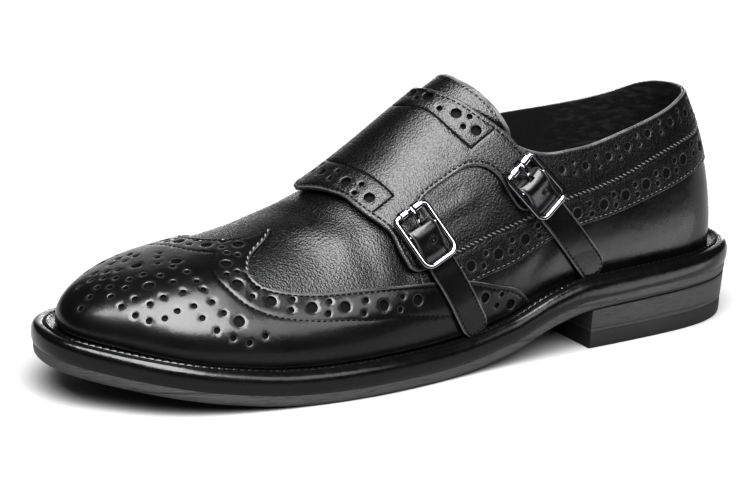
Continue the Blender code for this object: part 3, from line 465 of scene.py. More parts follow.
def last_normal(t, side, v):
    """Outward normal of the last, kept clear of the two ends and the ridge."""
    nudge = 0.001
    t = np.clip(t, 2 * nudge, 1 - 2 * nudge)
    v = np.clip(v, nudge, 1 - 2 * nudge)
    along = last_point(t + nudge, side, v) - last_point(t - nudge, side, v)
    up = last_point(t, side, v + nudge) - last_point(t, side, v - nudge)
    return unit(-np.cross(along, up) * np.asarray(side, float)[..., None])


def skin(t, w, height):
    """A point at a height over a place of the last, given by its rib number and w."""
    t, w, height = np.broadcast_arrays(
        np.asarray(t, float), np.asarray(w, float), np.asarray(height, float))
    side = np.where(w < 0, -1.0, 1.0)
    v = 1 - np.abs(w)
    return last_point(t, side, v) + last_normal(t, side, v) * height[..., None]


def lay(x, w, height):
    """A point at a height over the charted place (x, w)."""
    return skin(station(x), w, height)


def topline(x, side):
    """How far up its rib the upper goes at a station."""
    x = np.asarray(x, float)
    v = np.where(np.asarray(side) > 0, TOP_OUTER(x), TOP_INNER(x))
    return np.where(x >= THROAT_X, 1.0, np.minimum(v, 1.0))


# ---------------- the flat pattern
class FlatPattern:
    """The last's skin unrolled flat: each rib is laid straight out from the ridge."""

    RIBS, STEPS = 801, 121
    RIB_HALVINGS, ARC_HALVINGS = 34, 24

    def __init__(self):
        self.t = np.linspace(0, 1, self.RIBS)
        v = np.linspace(0, 1, self.STEPS)
        self.reach, self.way = {}, {}
        for side in (1.0, -1.0):
            ribs = last_point(self.t[:, None], side, v[None, :])
            steps = np.linalg.norm(np.diff(ribs, axis=1), axis=2)
            arc = np.cumsum(steps[:, ::-1], axis=1)[:, ::-1]
            self.reach[side] = np.concatenate([arc, np.zeros((self.RIBS, 1))], axis=1)
            self.way[side] = unit(ribs[:, 0, :2] - ribs[:, -1, :2])
            self.top = ribs[:, -1, :2]

    def rib(self, t, side):
        """The ridge end of a rib and the way it is laid out, in the pattern."""
        outer, inner = (along_line(t, self.t, self.way[way]) for way in (1.0, -1.0))
        return along_line(t, self.t, self.top), np.where((side > 0)[..., None], outer, inner)

    def arc(self, t, side, v):
        """Length along a rib from v up to the ridge."""
        row = np.clip(t, 0, 1) * (self.RIBS - 1)
        col = np.clip(v, 0, 1) * (self.STEPS - 1)
        i = np.minimum(row.astype(int), self.RIBS - 2)
        j = np.minimum(col.astype(int), self.STEPS - 2)
        a, b = row - i, col - j
        found = []
        for table in (self.reach[1.0], self.reach[-1.0]):
            found.append((table[i, j] * (1 - b) + table[i, j + 1] * b) * (1 - a)
                         + (table[i + 1, j] * (1 - b) + table[i + 1, j + 1] * b) * a)
        return np.where(side > 0, found[0], found[1])

    def flat(self, x, w):
        x, w = np.broadcast_arrays(np.asarray(x, float), np.asarray(w, float))
        side = np.where(w < 0, -1.0, 1.0)
        t = station(x)
        top, way = self.rib(t, side)
        return top + way * self.arc(t, side, 1 - np.abs(w))[..., None]

    def side_of(self, q):
        """1 on the outer side of the unrolled ridge, -1 on the inner side."""
        def turn(way, place):
            return way[0] * (q[..., 1] - place[1]) - way[1] * (q[..., 0] - place[0])
        ridge = np.interp(q[..., 0], self.top[:, 0], self.top[:, 1])
        side = np.where(q[..., 1] >= ridge, 1.0, -1.0)
        heel = -turn(self.way[1.0][0], self.top[0])
        toe = turn(self.way[1.0][-1], self.top[-1])
        side = np.where(q[..., 0] < self.top[0, 0], np.where(heel >= 0, 1.0, -1.0), side)
        return np.where(q[..., 0] > self.top[-1, 0], np.where(toe >= 0, 1.0, -1.0), side)

    def chart(self, q):
        """Back from the flat pattern to x and w."""
        q = np.asarray(q, float)
        side = self.side_of(q)
        low, high = np.zeros(q.shape[:-1]), np.ones(q.shape[:-1])
        for _ in range(self.RIB_HALVINGS):
            t = (low + high) / 2
            top, way = self.rib(t, side)
            past = side * (way[..., 0] * (q[..., 1] - top[..., 1])
                           - way[..., 1] * (q[..., 0] - top[..., 0])) > 0
            low, high = np.where(past, low, t), np.where(past, t, high)
        t = (low + high) / 2
        top, way = self.rib(t, side)
        reach = ((q - top) * way).sum(-1)
        low, high = np.zeros(q.shape[:-1]), np.ones(q.shape[:-1])
        for _ in range(self.ARC_HALVINGS):
            v = (low + high) / 2
            past = self.arc(t, side, v) < reach
            low, high = np.where(past, low, v), np.where(past, v, high)
        return station_x(t), side * (1 - (low + high) / 2)


PATTERN = FlatPattern()


def chord(q):
    return np.concatenate([[0.0], np.cumsum(np.linalg.norm(np.diff(q, axis=0), axis=1))])


def seam(places, step=1.0):
    """A smooth line in the flat pattern through charted places."""
    places = np.array(places, float)
    q = PATTERN.flat(places[:, 0], places[:, 1])
    along = chord(q)
    s = np.linspace(0, along[-1], max(2, int(round(along[-1] / step))) + 1)
    if len(places) == 2:
        return along_line(s, along, q)
    return np.stack([natural_curve(along, q[:, k])(s) for k in (0, 1)], -1)


def joined(*runs):
    """One closed outline from runs that follow each other."""
    ring = np.concatenate([run[:-1] for run in runs])
    turn = np.roll(ring, -1, axis=0)
    area = (ring[:, 0] * turn[:, 1] - ring[:, 1] * turn[:, 0]).sum()
    return ring if area > 0 else ring[::-1]


def distance_to(q, line, closed=False):
    """Distance from each place to the nearest point of a line in the flat pattern."""
    a = np.asarray(line, float)
    b = np.roll(a, -1, axis=0) if closed else a[1:]
    a = a if closed else a[:-1]
    best = np.full(len(q), FAR)
    for start in range(0, len(q), CHUNK):
        part = q[start:start + CHUNK, None, :]
        ab = b - a
        s = ((part - a) * ab).sum(-1) / np.maximum((ab * ab).sum(-1), 1e-12)
        gap = part - (a + ab * np.clip(s, 0, 1)[..., None])
        best[start:start + CHUNK] = np.sqrt((gap * gap).sum(-1).min(1))
    return best


def inside(q, ring):
    """Which places lie inside a closed outline."""
    found = np.zeros(len(q), bool)
    ax, ay = ring[:, 0], ring[:, 1]
    bx, by = np.roll(ax, -1), np.roll(ay, -1)
    for start in range(0, len(q), CHUNK):
        x, y = q[start:start + CHUNK, 0, None], q[start:start + CHUNK, 1, None]
        spans = (ay > y) != (by > y)
        rise = np.where(by == ay, 1e-12, by - ay)
        left = x < (bx - ax) * (y - ay) / rise + ax
        found[start:start + CHUNK] = (spans & left).sum(1) % 2 == 1
    return found


def crease(q):
    """How far the leather is pushed out or sinks at a place of the flat pattern."""
    moved = np.zeros(len(q))
    for start, end, width, depth in CREASES:
        line = PATTERN.flat(np.array([start[0], end[0]]), np.array([start[1], end[1]]))
        moved += depth * bell(distance_to(q, line), width)
    return moved


# ---------------- settings
def linear(colour):
    """An sRGB hex value as linear red, green and blue."""
    parts = [int(colour[i:i + 2], 16) / 255 for i in (1, 3, 5)]
    return tuple(c / 12.92 if c <= 0.04045 else ((c + 0.055) / 1.055) ** 2.4 for c in parts)


class ShoeSizes(PropertyGroup):
    large_punch: FloatProperty(
        name="Large punch", description="Diameter of the large punched holes",
        default=0.0042, min=0.002, max=0.006, unit="LENGTH")
    small_punch: FloatProperty(
        name="Small punch", description="Diameter of the small punched holes",
        default=0.0023, min=0.001, max=0.003, unit="LENGTH")
    stitch_pitch: FloatProperty(
        name="Stitch pitch", description="Distance from one stitch to the next",
        default=0.0029, min=0.0015, max=0.005, unit="LENGTH")
    thread: FloatProperty(
        name="Thread", description="Thickness of the sewing thread",
        default=0.0006, min=0.0003, max=0.0012, unit="LENGTH")
    grain: FloatProperty(
        name="Grain", description="Width of one pebble of the grained calf",
        default=0.0008, min=0.0004, max=0.003, unit="LENGTH")


class ShoeColours(PropertyGroup):
    calf: FloatVectorProperty(
        name="Calf", description="Dye of the uppers", subtype="COLOR", size=3, min=0, max=1,
        default=linear("#0c0c0d"))
    lining: FloatVectorProperty(
        name="Lining", description="Dye of the napped lining", subtype="COLOR", size=3,
        min=0, max=1, default=linear("#050505"))
    thread: FloatVectorProperty(
        name="Thread", description="Colour of most of the stitching", subtype="COLOR", size=3,
        min=0, max=1, default=linear("#060606"))
    pale_thread: FloatVectorProperty(
        name="Pale thread", description="Colour of the thread along the quarter seams",
        subtype="COLOR", size=3, min=0, max=1, default=linear("#6e6e70"))
    sole_edge: FloatVectorProperty(
        name="Sole edge", description="Ink on the sole and heel edges", subtype="COLOR", size=3,
        min=0, max=1, default=linear("#3b3b3b"))
    metal: FloatVectorProperty(
        name="Metal", description="Colour of the buckles", subtype="COLOR", size=3, min=0,
        max=1, default=linear("#3c3c40"))


def sizes():
    return bpy.context.scene.shoe_sizes


def colours():
    return bpy.context.scene.shoe_colours


def punch_radii():
    """Large and small radius of the punched holes, in millimetres."""
    return sizes().large_punch / MM / 2, sizes().small_punch / MM / 2


# ---------------- materials
WAVE_PERIOD = math.tau / 20     # of a wave texture at scale 1


def per_size(length):
    """Pattern scale that makes one repeat this many metres wide."""
    return 1.0 / length


def feed(node, values):
    """Set a node's inputs, or link them where the value is another node's output."""
    for socket, value in values.items():
        if isinstance(value, bpy.types.NodeSocket):
            node.id_data.links.new(value, node.inputs[socket])
        else:
            node.inputs[socket].default_value = value


def add(tree, kind, values=None, output=0, **settings):
    """Add a node with its settings and its inputs' values or links; returns one output.

    Inputs that share a name go by number: 6 and 7 are the colours of a mix.
    """
    made = tree.nodes.new(kind)
    for name, value in settings.items():
        setattr(made, name, value)
    feed(made, values or {})
    return made.outputs[output]


def new_material(name, colour, roughness, metallic=0.0):
    made = bpy.data.materials.new(name)
    made.use_nodes = True
    made.diffuse_color = (*colour, 1.0)
    tree = made.node_tree
    shader = tree.nodes["Principled BSDF"]
    feed(shader, {"Base Color": (*colour, 1.0), "Roughness": roughness, "Metallic": metallic})
    return made, tree, shader, add(tree, "ShaderNodeTexCoord", output="Object")


def lighter(colour, factor, lift=0.0):
    return (*(min(1.0, c * factor + lift) for c in colour), 1.0)


def calf_colour(tree, place, dye, lightening):
    """Dye that varies softly over the hide, and is lighter on cut and folded edges: partly rubbed
    wear, partly a painted highlight.
    """
    cloud = add(tree, "ShaderNodeTexNoise",
                {"Vector": place, "Scale": per_size(0.025), "Detail": 3.0})
    hide = add(tree, "ShaderNodeMix",
               {0: cloud, 6: lighter(dye, 0.75), 7: lighter(dye, 1.35)},
               output=2, data_type="RGBA")
    # rubbed and lit edges are painted lighter: partly wear, partly a painted highlight
    rub_and_highlight = add(tree, "ShaderNodeAttribute", output="Fac", attribute_name="rub_and_highlight")
    patchy = add(tree, "ShaderNodeTexNoise",
                 {"Vector": place, "Scale": per_size(0.006), "Detail": 2.0})
    amount = add(tree, "ShaderNodeMath", {0: rub_and_highlight, 1: patchy}, operation="MULTIPLY")
    return add(tree, "ShaderNodeMix",
               {0: amount, 6: hide, 7: lighter(dye, lightening, 0.16)}, output=2, data_type="RGBA")


def pebbled_calf():
    """Drum-shrunken calf, aniline dyed: small uneven pebbles that glitter where light grazes."""
    dye, grain = colours().calf, sizes().grain
    made, tree, shader, place = new_material("pebbled_calf", dye, 0.4)
    pebble = add(tree, "ShaderNodeTexVoronoi",
                 {"Vector": place, "Scale": per_size(grain), "Randomness": 1.0})
    fine = add(tree, "ShaderNodeTexNoise",
               {"Vector": place, "Scale": per_size(grain * 0.8), "Detail": 2.0, "Roughness": 0.6})
    # pull-up lines a few millimetres long where the hide is drawn over the last
    drawn = add(tree, "ShaderNodeTexNoise",
                {"Vector": place, "Scale": per_size(0.0045), "Detail": 3.0, "Distortion": 0.8})
    pulled = add(tree, "ShaderNodeBump", {"Height": drawn, "Strength": 0.12, "Distance": 0.0006})
    shrunk = add(tree, "ShaderNodeBump",
                 {"Height": pebble, "Normal": pulled, "Strength": 0.65, "Distance": 0.00018},
                 invert=True)
    rough = add(tree, "ShaderNodeBump",
                {"Height": fine, "Normal": shrunk, "Strength": 0.9, "Distance": 0.00015})
    gloss = add(tree, "ShaderNodeMapRange", {"Value": pebble, 1: 0.1, 2: 0.8, 3: 0.14, 4: 0.38})
    feed(shader, {"Normal": rough, "Roughness": gloss,
                  "Base Color": calf_colour(tree, place, dye, 7.0)})
    return made


def polished_calf():
    """Smooth box calf, plated and wax polished: clear, slightly wavy reflections."""
    dye = colours().calf
    made, tree, shader, place = new_material("polished_calf", dye, 0.25)
    wave = add(tree, "ShaderNodeTexNoise",
               {"Vector": place, "Scale": per_size(0.007), "Detail": 2.0})
    pore = add(tree, "ShaderNodeTexNoise",
               {"Vector": place, "Scale": per_size(0.0006), "Detail": 2.0})
    wavy = add(tree, "ShaderNodeBump", {"Height": wave, "Strength": 0.3, "Distance": 0.0005})
    porous = add(tree, "ShaderNodeBump",
                 {"Height": pore, "Strength": 0.35, "Normal": wavy, "Distance": 0.00009})
    smear = add(tree, "ShaderNodeTexNoise",
                {"Vector": place, "Scale": per_size(0.012), "Detail": 4.0})
    gloss = add(tree, "ShaderNodeMapRange", {"Value": smear, 1: 0.3, 2: 0.75, 3: 0.23, 4: 0.33})
    feed(shader, {"Normal": porous, "Roughness": gloss,
                  "Base Color": calf_colour(tree, place, dye, 6.0), "Coat Weight": 0.12,
                  "Coat Roughness": 0.12})
    return made


def napped_lining():
    """Lining leather, brushed to a soft nap, with lighter streaks towards the heel: no gloss."""
    dye = colours().lining
    made, tree, shader, place = new_material("napped_lining", dye, 0.95)
    nap = add(tree, "ShaderNodeTexNoise",
              {"Vector": place, "Scale": per_size(0.0011), "Detail": 4.0, "Roughness": 0.7})
    brushed = add(tree, "ShaderNodeMapping", {"Vector": place, "Scale": (1.0, 1.0, 3.5)})
    lightening = add(tree, "ShaderNodeTexNoise",
               {"Vector": brushed, "Detail": 4.0, "Scale": per_size(0.006)})
    streak = add(tree, "ShaderNodeMapRange", {"Value": lightening, 1: 0.46, 2: 0.66})
    # the lighter streaks lie only towards the heel; in front of it the lining's colour is even
    along = add(tree, "ShaderNodeSeparateXYZ", {0: place})
    grip = add(tree, "ShaderNodeMapRange", {"Value": along, 1: -0.078, 2: -0.092})
    amount = add(tree, "ShaderNodeMath", {0: streak, 1: grip}, operation="MULTIPLY")
    both = add(tree, "ShaderNodeMix",
               {0: amount, 6: lighter(dye, 0.5), 7: lighter(dye, 14.0)},
               output=2, data_type="RGBA")
    bump = add(tree, "ShaderNodeBump", {"Height": nap, "Strength": 0.9, "Distance": 0.0005})
    feed(shader, {"Base Color": both, "Normal": bump, "Sheen Weight": 0.08, "Sheen Roughness": 0.4})
    return made


def painted_shade_leather():
    """Black backing leather on the floors of the punched holes, made dark with nearly no gloss as
    painted shade, and laid in the narrow seam grooves as painted shade.
    """
    made, tree, shader, place = new_material("painted_shade_leather", linear("#0a0a0a"), 0.6)
    nap = add(tree, "ShaderNodeTexNoise", {"Vector": place, "Scale": per_size(0.0006)})
    bump = add(tree, "ShaderNodeBump", {"Height": nap, "Strength": 0.5, "Distance": 0.0002})
    feed(shader, {"Specular IOR Level": 0.14, "Normal": bump})
    return made


def waxed_welt():
    """Welt leather, inked and hot waxed: glossy, with small tool marks."""
    dye = colours().calf
    made, tree, shader, place = new_material("waxed_welt", dye, 0.28)
    tool = add(tree, "ShaderNodeTexNoise",
               {"Vector": place, "Scale": per_size(0.0035), "Detail": 3.0})
    fine = add(tree, "ShaderNodeTexNoise",
               {"Vector": place, "Scale": per_size(0.0007), "Detail": 2.0})
    marks = add(tree, "ShaderNodeBump", {"Height": tool, "Strength": 0.16, "Distance": 0.0006})
    wax = add(tree, "ShaderNodeBump",
              {"Height": fine, "Strength": 0.4, "Normal": marks, "Distance": 0.0001})
    gloss = add(tree, "ShaderNodeMapRange", {"Value": tool, 1: 0.3, 2: 0.75, 3: 0.17, 4: 0.28})
    feed(shader, {"Normal": wax, "Roughness": gloss,
                  "Base Color": calf_colour(tree, place, dye, 6.0)})
    return made


def layered_leather(name, ink, joint_gap, roughness):
    """Edge of bonded sole leather: level fibres and dark joints a gap apart, inked."""
    made, tree, shader, place = new_material(name, ink, roughness)
    flat = add(tree, "ShaderNodeMapping", {"Vector": place, "Scale": (1.0, 1.0, 9.0)})
    fibre = add(tree, "ShaderNodeTexNoise",
                {"Vector": flat, "Detail": 4.0, "Roughness": 0.65, "Scale": per_size(0.0055)})
    fine = add(tree, "ShaderNodeTexNoise",
               {"Vector": flat, "Detail": 2.0, "Scale": per_size(0.0022)})
    joint = add(tree, "ShaderNodeTexWave",
                {"Vector": place, "Distortion": 0.6, "Detail": 2.0,
                 "Scale": WAVE_PERIOD * per_size(joint_gap)},
                output="Fac", wave_type="BANDS", bands_direction="Z", wave_profile="SAW")
    line = add(tree, "ShaderNodeMapRange", {"Value": joint, 1: 0.0, 2: 0.12, 3: 0.0, 4: 1.0})
    tone = add(tree, "ShaderNodeMapRange", {"Value": fibre, 1: 0.3, 2: 0.7, 3: 0.35, 4: 1.6})
    shade = add(tree, "ShaderNodeMath", {0: tone, 1: line}, operation="MULTIPLY")
    tinted = add(tree, "ShaderNodeMix",
                 {0: shade, 6: lighter(ink, 0.25), 7: lighter(ink, 1.25)},
                 output=2, data_type="RGBA")
    torn = add(tree, "ShaderNodeBump", {"Height": fibre, "Strength": 0.8, "Distance": 0.0004})
    sanded = add(tree, "ShaderNodeBump",
                 {"Height": fine, "Strength": 0.4, "Normal": torn, "Distance": 0.0002})
    feed(shader, {"Base Color": tinted, "Normal": sanded})
    return made


def heel_rubber():
    """Moulded heel rubber, scuffed: matte and nearly black."""
    dye = linear("#1a1a1b")
    made, tree, shader, place = new_material("heel_rubber", dye, 0.62)
    mould = add(tree, "ShaderNodeTexNoise",
                {"Vector": place, "Scale": per_size(0.0013), "Detail": 4.0})
    scuff = add(tree, "ShaderNodeTexNoise",
                {"Vector": place, "Scale": per_size(0.012), "Detail": 5.0})
    tone = add(tree, "ShaderNodeMix",
               {0: scuff, 6: lighter(dye, 0.6), 7: lighter(dye, 1.9)}, output=2, data_type="RGBA")
    bump = add(tree, "ShaderNodeBump", {"Height": mould, "Strength": 0.4, "Distance": 0.0002})
    feed(shader, {"Base Color": tone, "Normal": bump})
    return made


def black_nickel():
    """Buckle steel, barrel polished and plated in black nickel: dark mirror with hairlines."""
    metal = colours().metal
    made, tree, shader, place = new_material("black_nickel", metal, 0.14, 1.0)
    hair = add(tree, "ShaderNodeTexNoise",
               {"Vector": place, "Scale": per_size(0.0012), "Detail": 3.0})
    gloss = add(tree, "ShaderNodeMapRange", {"Value": hair, 1: 0.3, 2: 0.75, 3: 0.1, 4: 0.24})
    tint = add(tree, "ShaderNodeMix",
               {0: hair, 6: lighter(metal, 0.8), 7: lighter(metal, 1.15)},
               output=2, data_type="RGBA")
    feed(shader, {"Roughness": gloss, "Base Color": tint})
    return made


def waxed_thread(name, colour, shine=0.5):
    """Twisted linen thread, waxed: a fine slanting twist and a low shine."""
    made, tree, shader, place = new_material(name, colour, 0.45)
    twist = add(tree, "ShaderNodeTexNoise",
                {"Vector": place, "Scale": per_size(0.0005), "Detail": 2.0})
    tone = add(tree, "ShaderNodeMix",
               {0: twist, 6: lighter(colour, 0.6), 7: lighter(colour, 1.3)},
               output=2, data_type="RGBA")
    bump = add(tree, "ShaderNodeBump", {"Height": twist, "Strength": 0.5, "Distance": 0.00015})
    feed(shader, {"Specular IOR Level": shine, "Base Color": tone, "Normal": bump})
    return made


def studio_paper():
    """Matte white paper sweep."""
    made, tree, shader, place = new_material("studio_paper", linear("#949494"), 0.9)
    tooth = add(tree, "ShaderNodeTexNoise", {"Vector": place, "Scale": per_size(0.002)})
    bump = add(tree, "ShaderNodeBump", {"Height": tooth, "Strength": 0.05, "Distance": 0.0002})
    feed(shader, {"Normal": bump})
    return made


def dull_cloth(name, colour):
    """Cloth of a studio card, with no gloss."""
    made, _, shader, _ = new_material(name, linear(colour), 1.0)
    feed(shader, {"Specular IOR Level": 0.0})
    return made


MAKERS = {
    "pebbled_calf": pebbled_calf,
    "polished_calf": polished_calf,
    "napped_lining": napped_lining,
    "painted_shade_leather": painted_shade_leather,
    "waxed_welt": waxed_welt,
    "sole_leather": lambda: layered_leather("sole_leather", colours().sole_edge, 0.00908, 0.5),
    "stacked_heel": lambda: layered_leather(
        "stacked_heel", lighter(colours().sole_edge, 0.8)[:3], 0.00829, 0.48),
    "heel_rubber": heel_rubber,
    "black_nickel": black_nickel,
    "waxed_thread": lambda: waxed_thread("waxed_thread", colours().thread, 0.12),
    "pale_thread": lambda: waxed_thread("pale_thread", colours().pale_thread),
    "studio_paper": studio_paper,
    "flag_cloth": lambda: dull_cloth("flag_cloth", "#040404"),
    "card_white": lambda: dull_cloth("card_white", "#f6f6f6"),
}


def finish(name):
    return bpy.data.materials.get(name) or MAKERS[name]()


# ---------------- making meshes
def select_only(piece):
    if bpy.context.mode != "OBJECT":
        bpy.ops.object.mode_set(mode="OBJECT")
    bpy.ops.object.select_all(action="DESELECT")
    piece.select_set(True)
    bpy.context.view_layer.objects.active = piece


def start(operator, name, **settings):
    """Add a primitive with nothing else selected."""
    bpy.ops.object.select_all(action="DESELECT")
    operator(**settings)
    made = bpy.context.active_object
    made.name = made.data.name = name
    return made


def blank(name, points, faces):
    """A mesh object from points in millimetres."""
    mesh = bpy.data.meshes.new(name)
    mesh.from_pydata((np.asarray(points, float) * MM).tolist(), [], faces)
    made = bpy.data.objects.new(name, mesh)
    bpy.context.scene.collection.objects.link(made)
    return made


def laid_grid(name, places):
    """A primitive grid whose crossings are laid at a rows x columns array of places."""
    rows, columns = places.shape[:2]
    made = start(bpy.ops.mesh.primitive_grid_add, name, x_subdivisions=columns - 1,
                 y_subdivisions=rows - 1, size=1.0)
    made.data.vertices.foreach_set("co", (places.reshape(-1, 3) * MM).ravel())
    made.data.update()
    return made


def weld(piece, gap=WELD, closed=True):
    """Close the seams of a piece and turn its faces outwards."""
    select_only(piece)
    bpy.ops.object.mode_set(mode="EDIT")
    bpy.ops.mesh.select_all(action="SELECT")
    bpy.ops.mesh.remove_doubles(threshold=gap)
    bpy.ops.mesh.select_all(action="SELECT")
    if closed:
        bpy.ops.mesh.normals_make_consistent(inside=False)
    bpy.ops.object.mode_set(mode="OBJECT")


def close_ends(piece):
    """Fill the open ends of a tube of faces and turn it outwards."""
    select_only(piece)
    bpy.ops.object.mode_set(mode="EDIT")
    bpy.context.tool_settings.mesh_select_mode = (False, True, False)
    bpy.ops.mesh.select_all(action="DESELECT")
    bpy.ops.mesh.select_non_manifold()
    bpy.ops.mesh.edge_face_add()
    bpy.ops.mesh.select_all(action="SELECT")
    bpy.ops.mesh.normals_make_consistent(inside=False)
    bpy.ops.object.mode_set(mode="OBJECT")


def coat(piece, *finishes):
    """Give a piece its finishes, the first one all over."""
    for name in finishes:
        piece.data.materials.append(finish(name))
    return piece


def dress(piece, stands_for=(), angle=38):
    """Shade a coated piece and give it its place in the frame."""
    if len(piece.data.polygons) == 0:
        raise RuntimeError(f"{piece.name} came out empty")
    select_only(piece)
    bpy.ops.object.shade_smooth_by_angle(angle=math.radians(angle))
    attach(piece, "root")
    if stands_for:
        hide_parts(*stands_for)
    return piece


def set_rub_and_highlight(piece, values):
    """Store how far each point is rubbed and lit, 0 to 1: edge wear of the finish and a painted
    highlight on the edges.
    """
    layer = piece.data.attributes.new("rub_and_highlight", "FLOAT", "POINT")
    layer.data.foreach_set("value", np.clip(values, 0, 1).astype(np.float32))


# ---------------- cut leather panels
def stretch(q):
    """At each place, the 2 x 2 matrix that shapes a round hole for the flat pattern."""
    nudge = 0.05

    def place(p):
        return lay(*PATTERN.chart(p), 0.0)

    across = (place(q + [nudge, 0]) - place(q - [nudge, 0])) / (2 * nudge)
    along = (place(q + [0, nudge]) - place(q - [0, nudge])) / (2 * nudge)
    metric = np.stack([np.stack([(across * across).sum(-1), (across * along).sum(-1)], -1),
                       np.stack([(across * along).sum(-1), (along * along).sum(-1)], -1)], -2)
    size, turn = np.linalg.eigh(metric)
    return turn @ (size[..., :, None] ** -0.5 * np.swapaxes(turn, -1, -2))


def beside(line, distance, closed=False):
    """A line moved sideways in the flat pattern, to its left when the distance is positive."""
    if closed:
        ahead = np.roll(line, -1, axis=0) - np.roll(line, 1, axis=0)
    else:
        ahead = np.gradient(line, axis=0)
    ahead /= np.maximum(np.linalg.norm(ahead, axis=1, keepdims=True), 1e-9)
    return line + np.stack([-ahead[:, 1], ahead[:, 0]], -1) * distance


def hexagons(low, high, spacing):
    rise = spacing * math.sqrt(3) / 2
    ys = np.arange(low[1], high[1], rise)
    xs = np.arange(low[0], high[0], spacing)
    grid_x, grid_y = np.meshgrid(xs, ys)
    grid_x = grid_x + (np.arange(len(ys)) % 2)[:, None] * spacing / 2
    return np.stack([grid_x.ravel(), grid_y.ravel()], -1)


class Punches:
    """The punched holes that have room inside an edge, as shaped rings in the flat pattern."""

    def __init__(self, punches, edge):
        self.spots, self.radii = np.zeros((0, 2)), np.zeros(0)
        self.shapes = self.undo = np.zeros((0, 2, 2))
        if len(punches):
            x, w, radii = np.array(punches).T
            spots = PATTERN.flat(x, w)
            room = inside(spots, edge) & (distance_to(spots, edge, True) > radii + PUNCH_ROOM)
            self.spots, self.radii = spots[room], radii[room]
            self.shapes = stretch(self.spots)
            self.undo = np.linalg.inv(self.shapes)

    def gap(self, q):
        """Distance from each place to the rim of the nearest hole, as it lies on the last."""
        gap = np.full(len(q), FAR)
        for spot, back, radius in zip(self.spots, self.undo, self.radii):
            near = np.abs(q - spot).sum(1) < radius * 2 + 8
            local = (q[near] - spot) @ back.T
            gap[near] = np.minimum(gap[near], np.linalg.norm(local, axis=1) - radius)
        return gap

    def rings(self):
        """For each hole its rim and the ring of points just round it."""
        for spot, shape, radius in zip(self.spots, self.shapes, self.radii):
            count = LARGE_SIDES if radius > LARGE_RADIUS else SMALL_SIDES
            turns = np.linspace(0, 2 * np.pi, count, endpoint=False)
            circle = np.stack([np.cos(turns), np.sin(turns)], -1)
            yield spot + radius * circle @ shape.T, spot + (radius + PUNCH_LIP) * circle @ shape.T


def triangulated(edge, punches, scores, spacing):
    """Triangles of a punched panel in the flat pattern: points, leather, and holes."""
    on_edge, loose, dropped = -1, -2, -9
    ring_insets, ring_room, row_room = (0.35, 0.9), 0.4, 0.5
    points, loops, owner = [edge], [(0, len(edge))], [np.full(len(edge), on_edge)]

    def put(places, mark=loose):
        points.append(places)
        owner.append(np.full(len(places), mark))

    for number, (rim, lip) in enumerate(punches.rings()):
        loops.append((sum(len(p) for p in points), len(rim)))
        put(rim, number)
        put(lip)
    for inset in ring_insets:
        ring = beside(edge, inset, True)
        ring = ring[inside(ring, edge) & (distance_to(ring, edge, True) > inset * 0.9)]
        put(ring[punches.gap(ring) > ring_room])
    for line, _, width in scores:
        for shift in (-1.0, 0.0, 1.0):
            row = beside(line, shift * width)
            row = row[inside(row, edge) & (distance_to(row, edge, True) > row_room)]
            put(row[punches.gap(row) > row_room])
    field = hexagons(edge.min(0), edge.max(0), spacing)
    field = field[inside(field, edge)]
    field = field[distance_to(field, edge, True) > ring_insets[-1] + spacing * 0.45]
    field = field[punches.gap(field) > PUNCH_LIP + spacing * 0.35]
    for line, _, width in scores:
        field = field[distance_to(field, line) > width + spacing * 0.4]
    put(field)

    owner = np.concatenate(owner)
    bounds = [(a + i, a + (i + 1) % n) for a, n in loops for i in range(n)]
    made = geometry.delaunay_2d_cdt([Vector(p) for p in np.concatenate(points)], bounds, [], 0,
                                    1e-4)
    q = np.array([tuple(p) for p in made[0]])
    source = np.array([ids[0] if ids else dropped for ids in made[3]])
    mark = np.where(source >= 0, owner[source], loose)
    tris = np.array([f for f in made[2] if len(f) == 3])
    marks = mark[tris]
    hole = (marks[:, 0] == marks[:, 1]) & (marks[:, 1] == marks[:, 2]) & (marks[:, 0] >= 0)
    plugs, tris, marks = tris[hole], tris[~hole], marks[~hole]
    doubt = (marks == on_edge).all(1)
    keep = ~doubt
    keep[doubt] = inside(q[tris[doubt]].mean(1), edge)
    tris = tris[keep]

    used = np.unique(np.concatenate([tris, plugs]))
    renumber = np.full(len(q), -1)
    renumber[used] = np.arange(len(used))
    return q[used], renumber[tris], renumber[plugs]


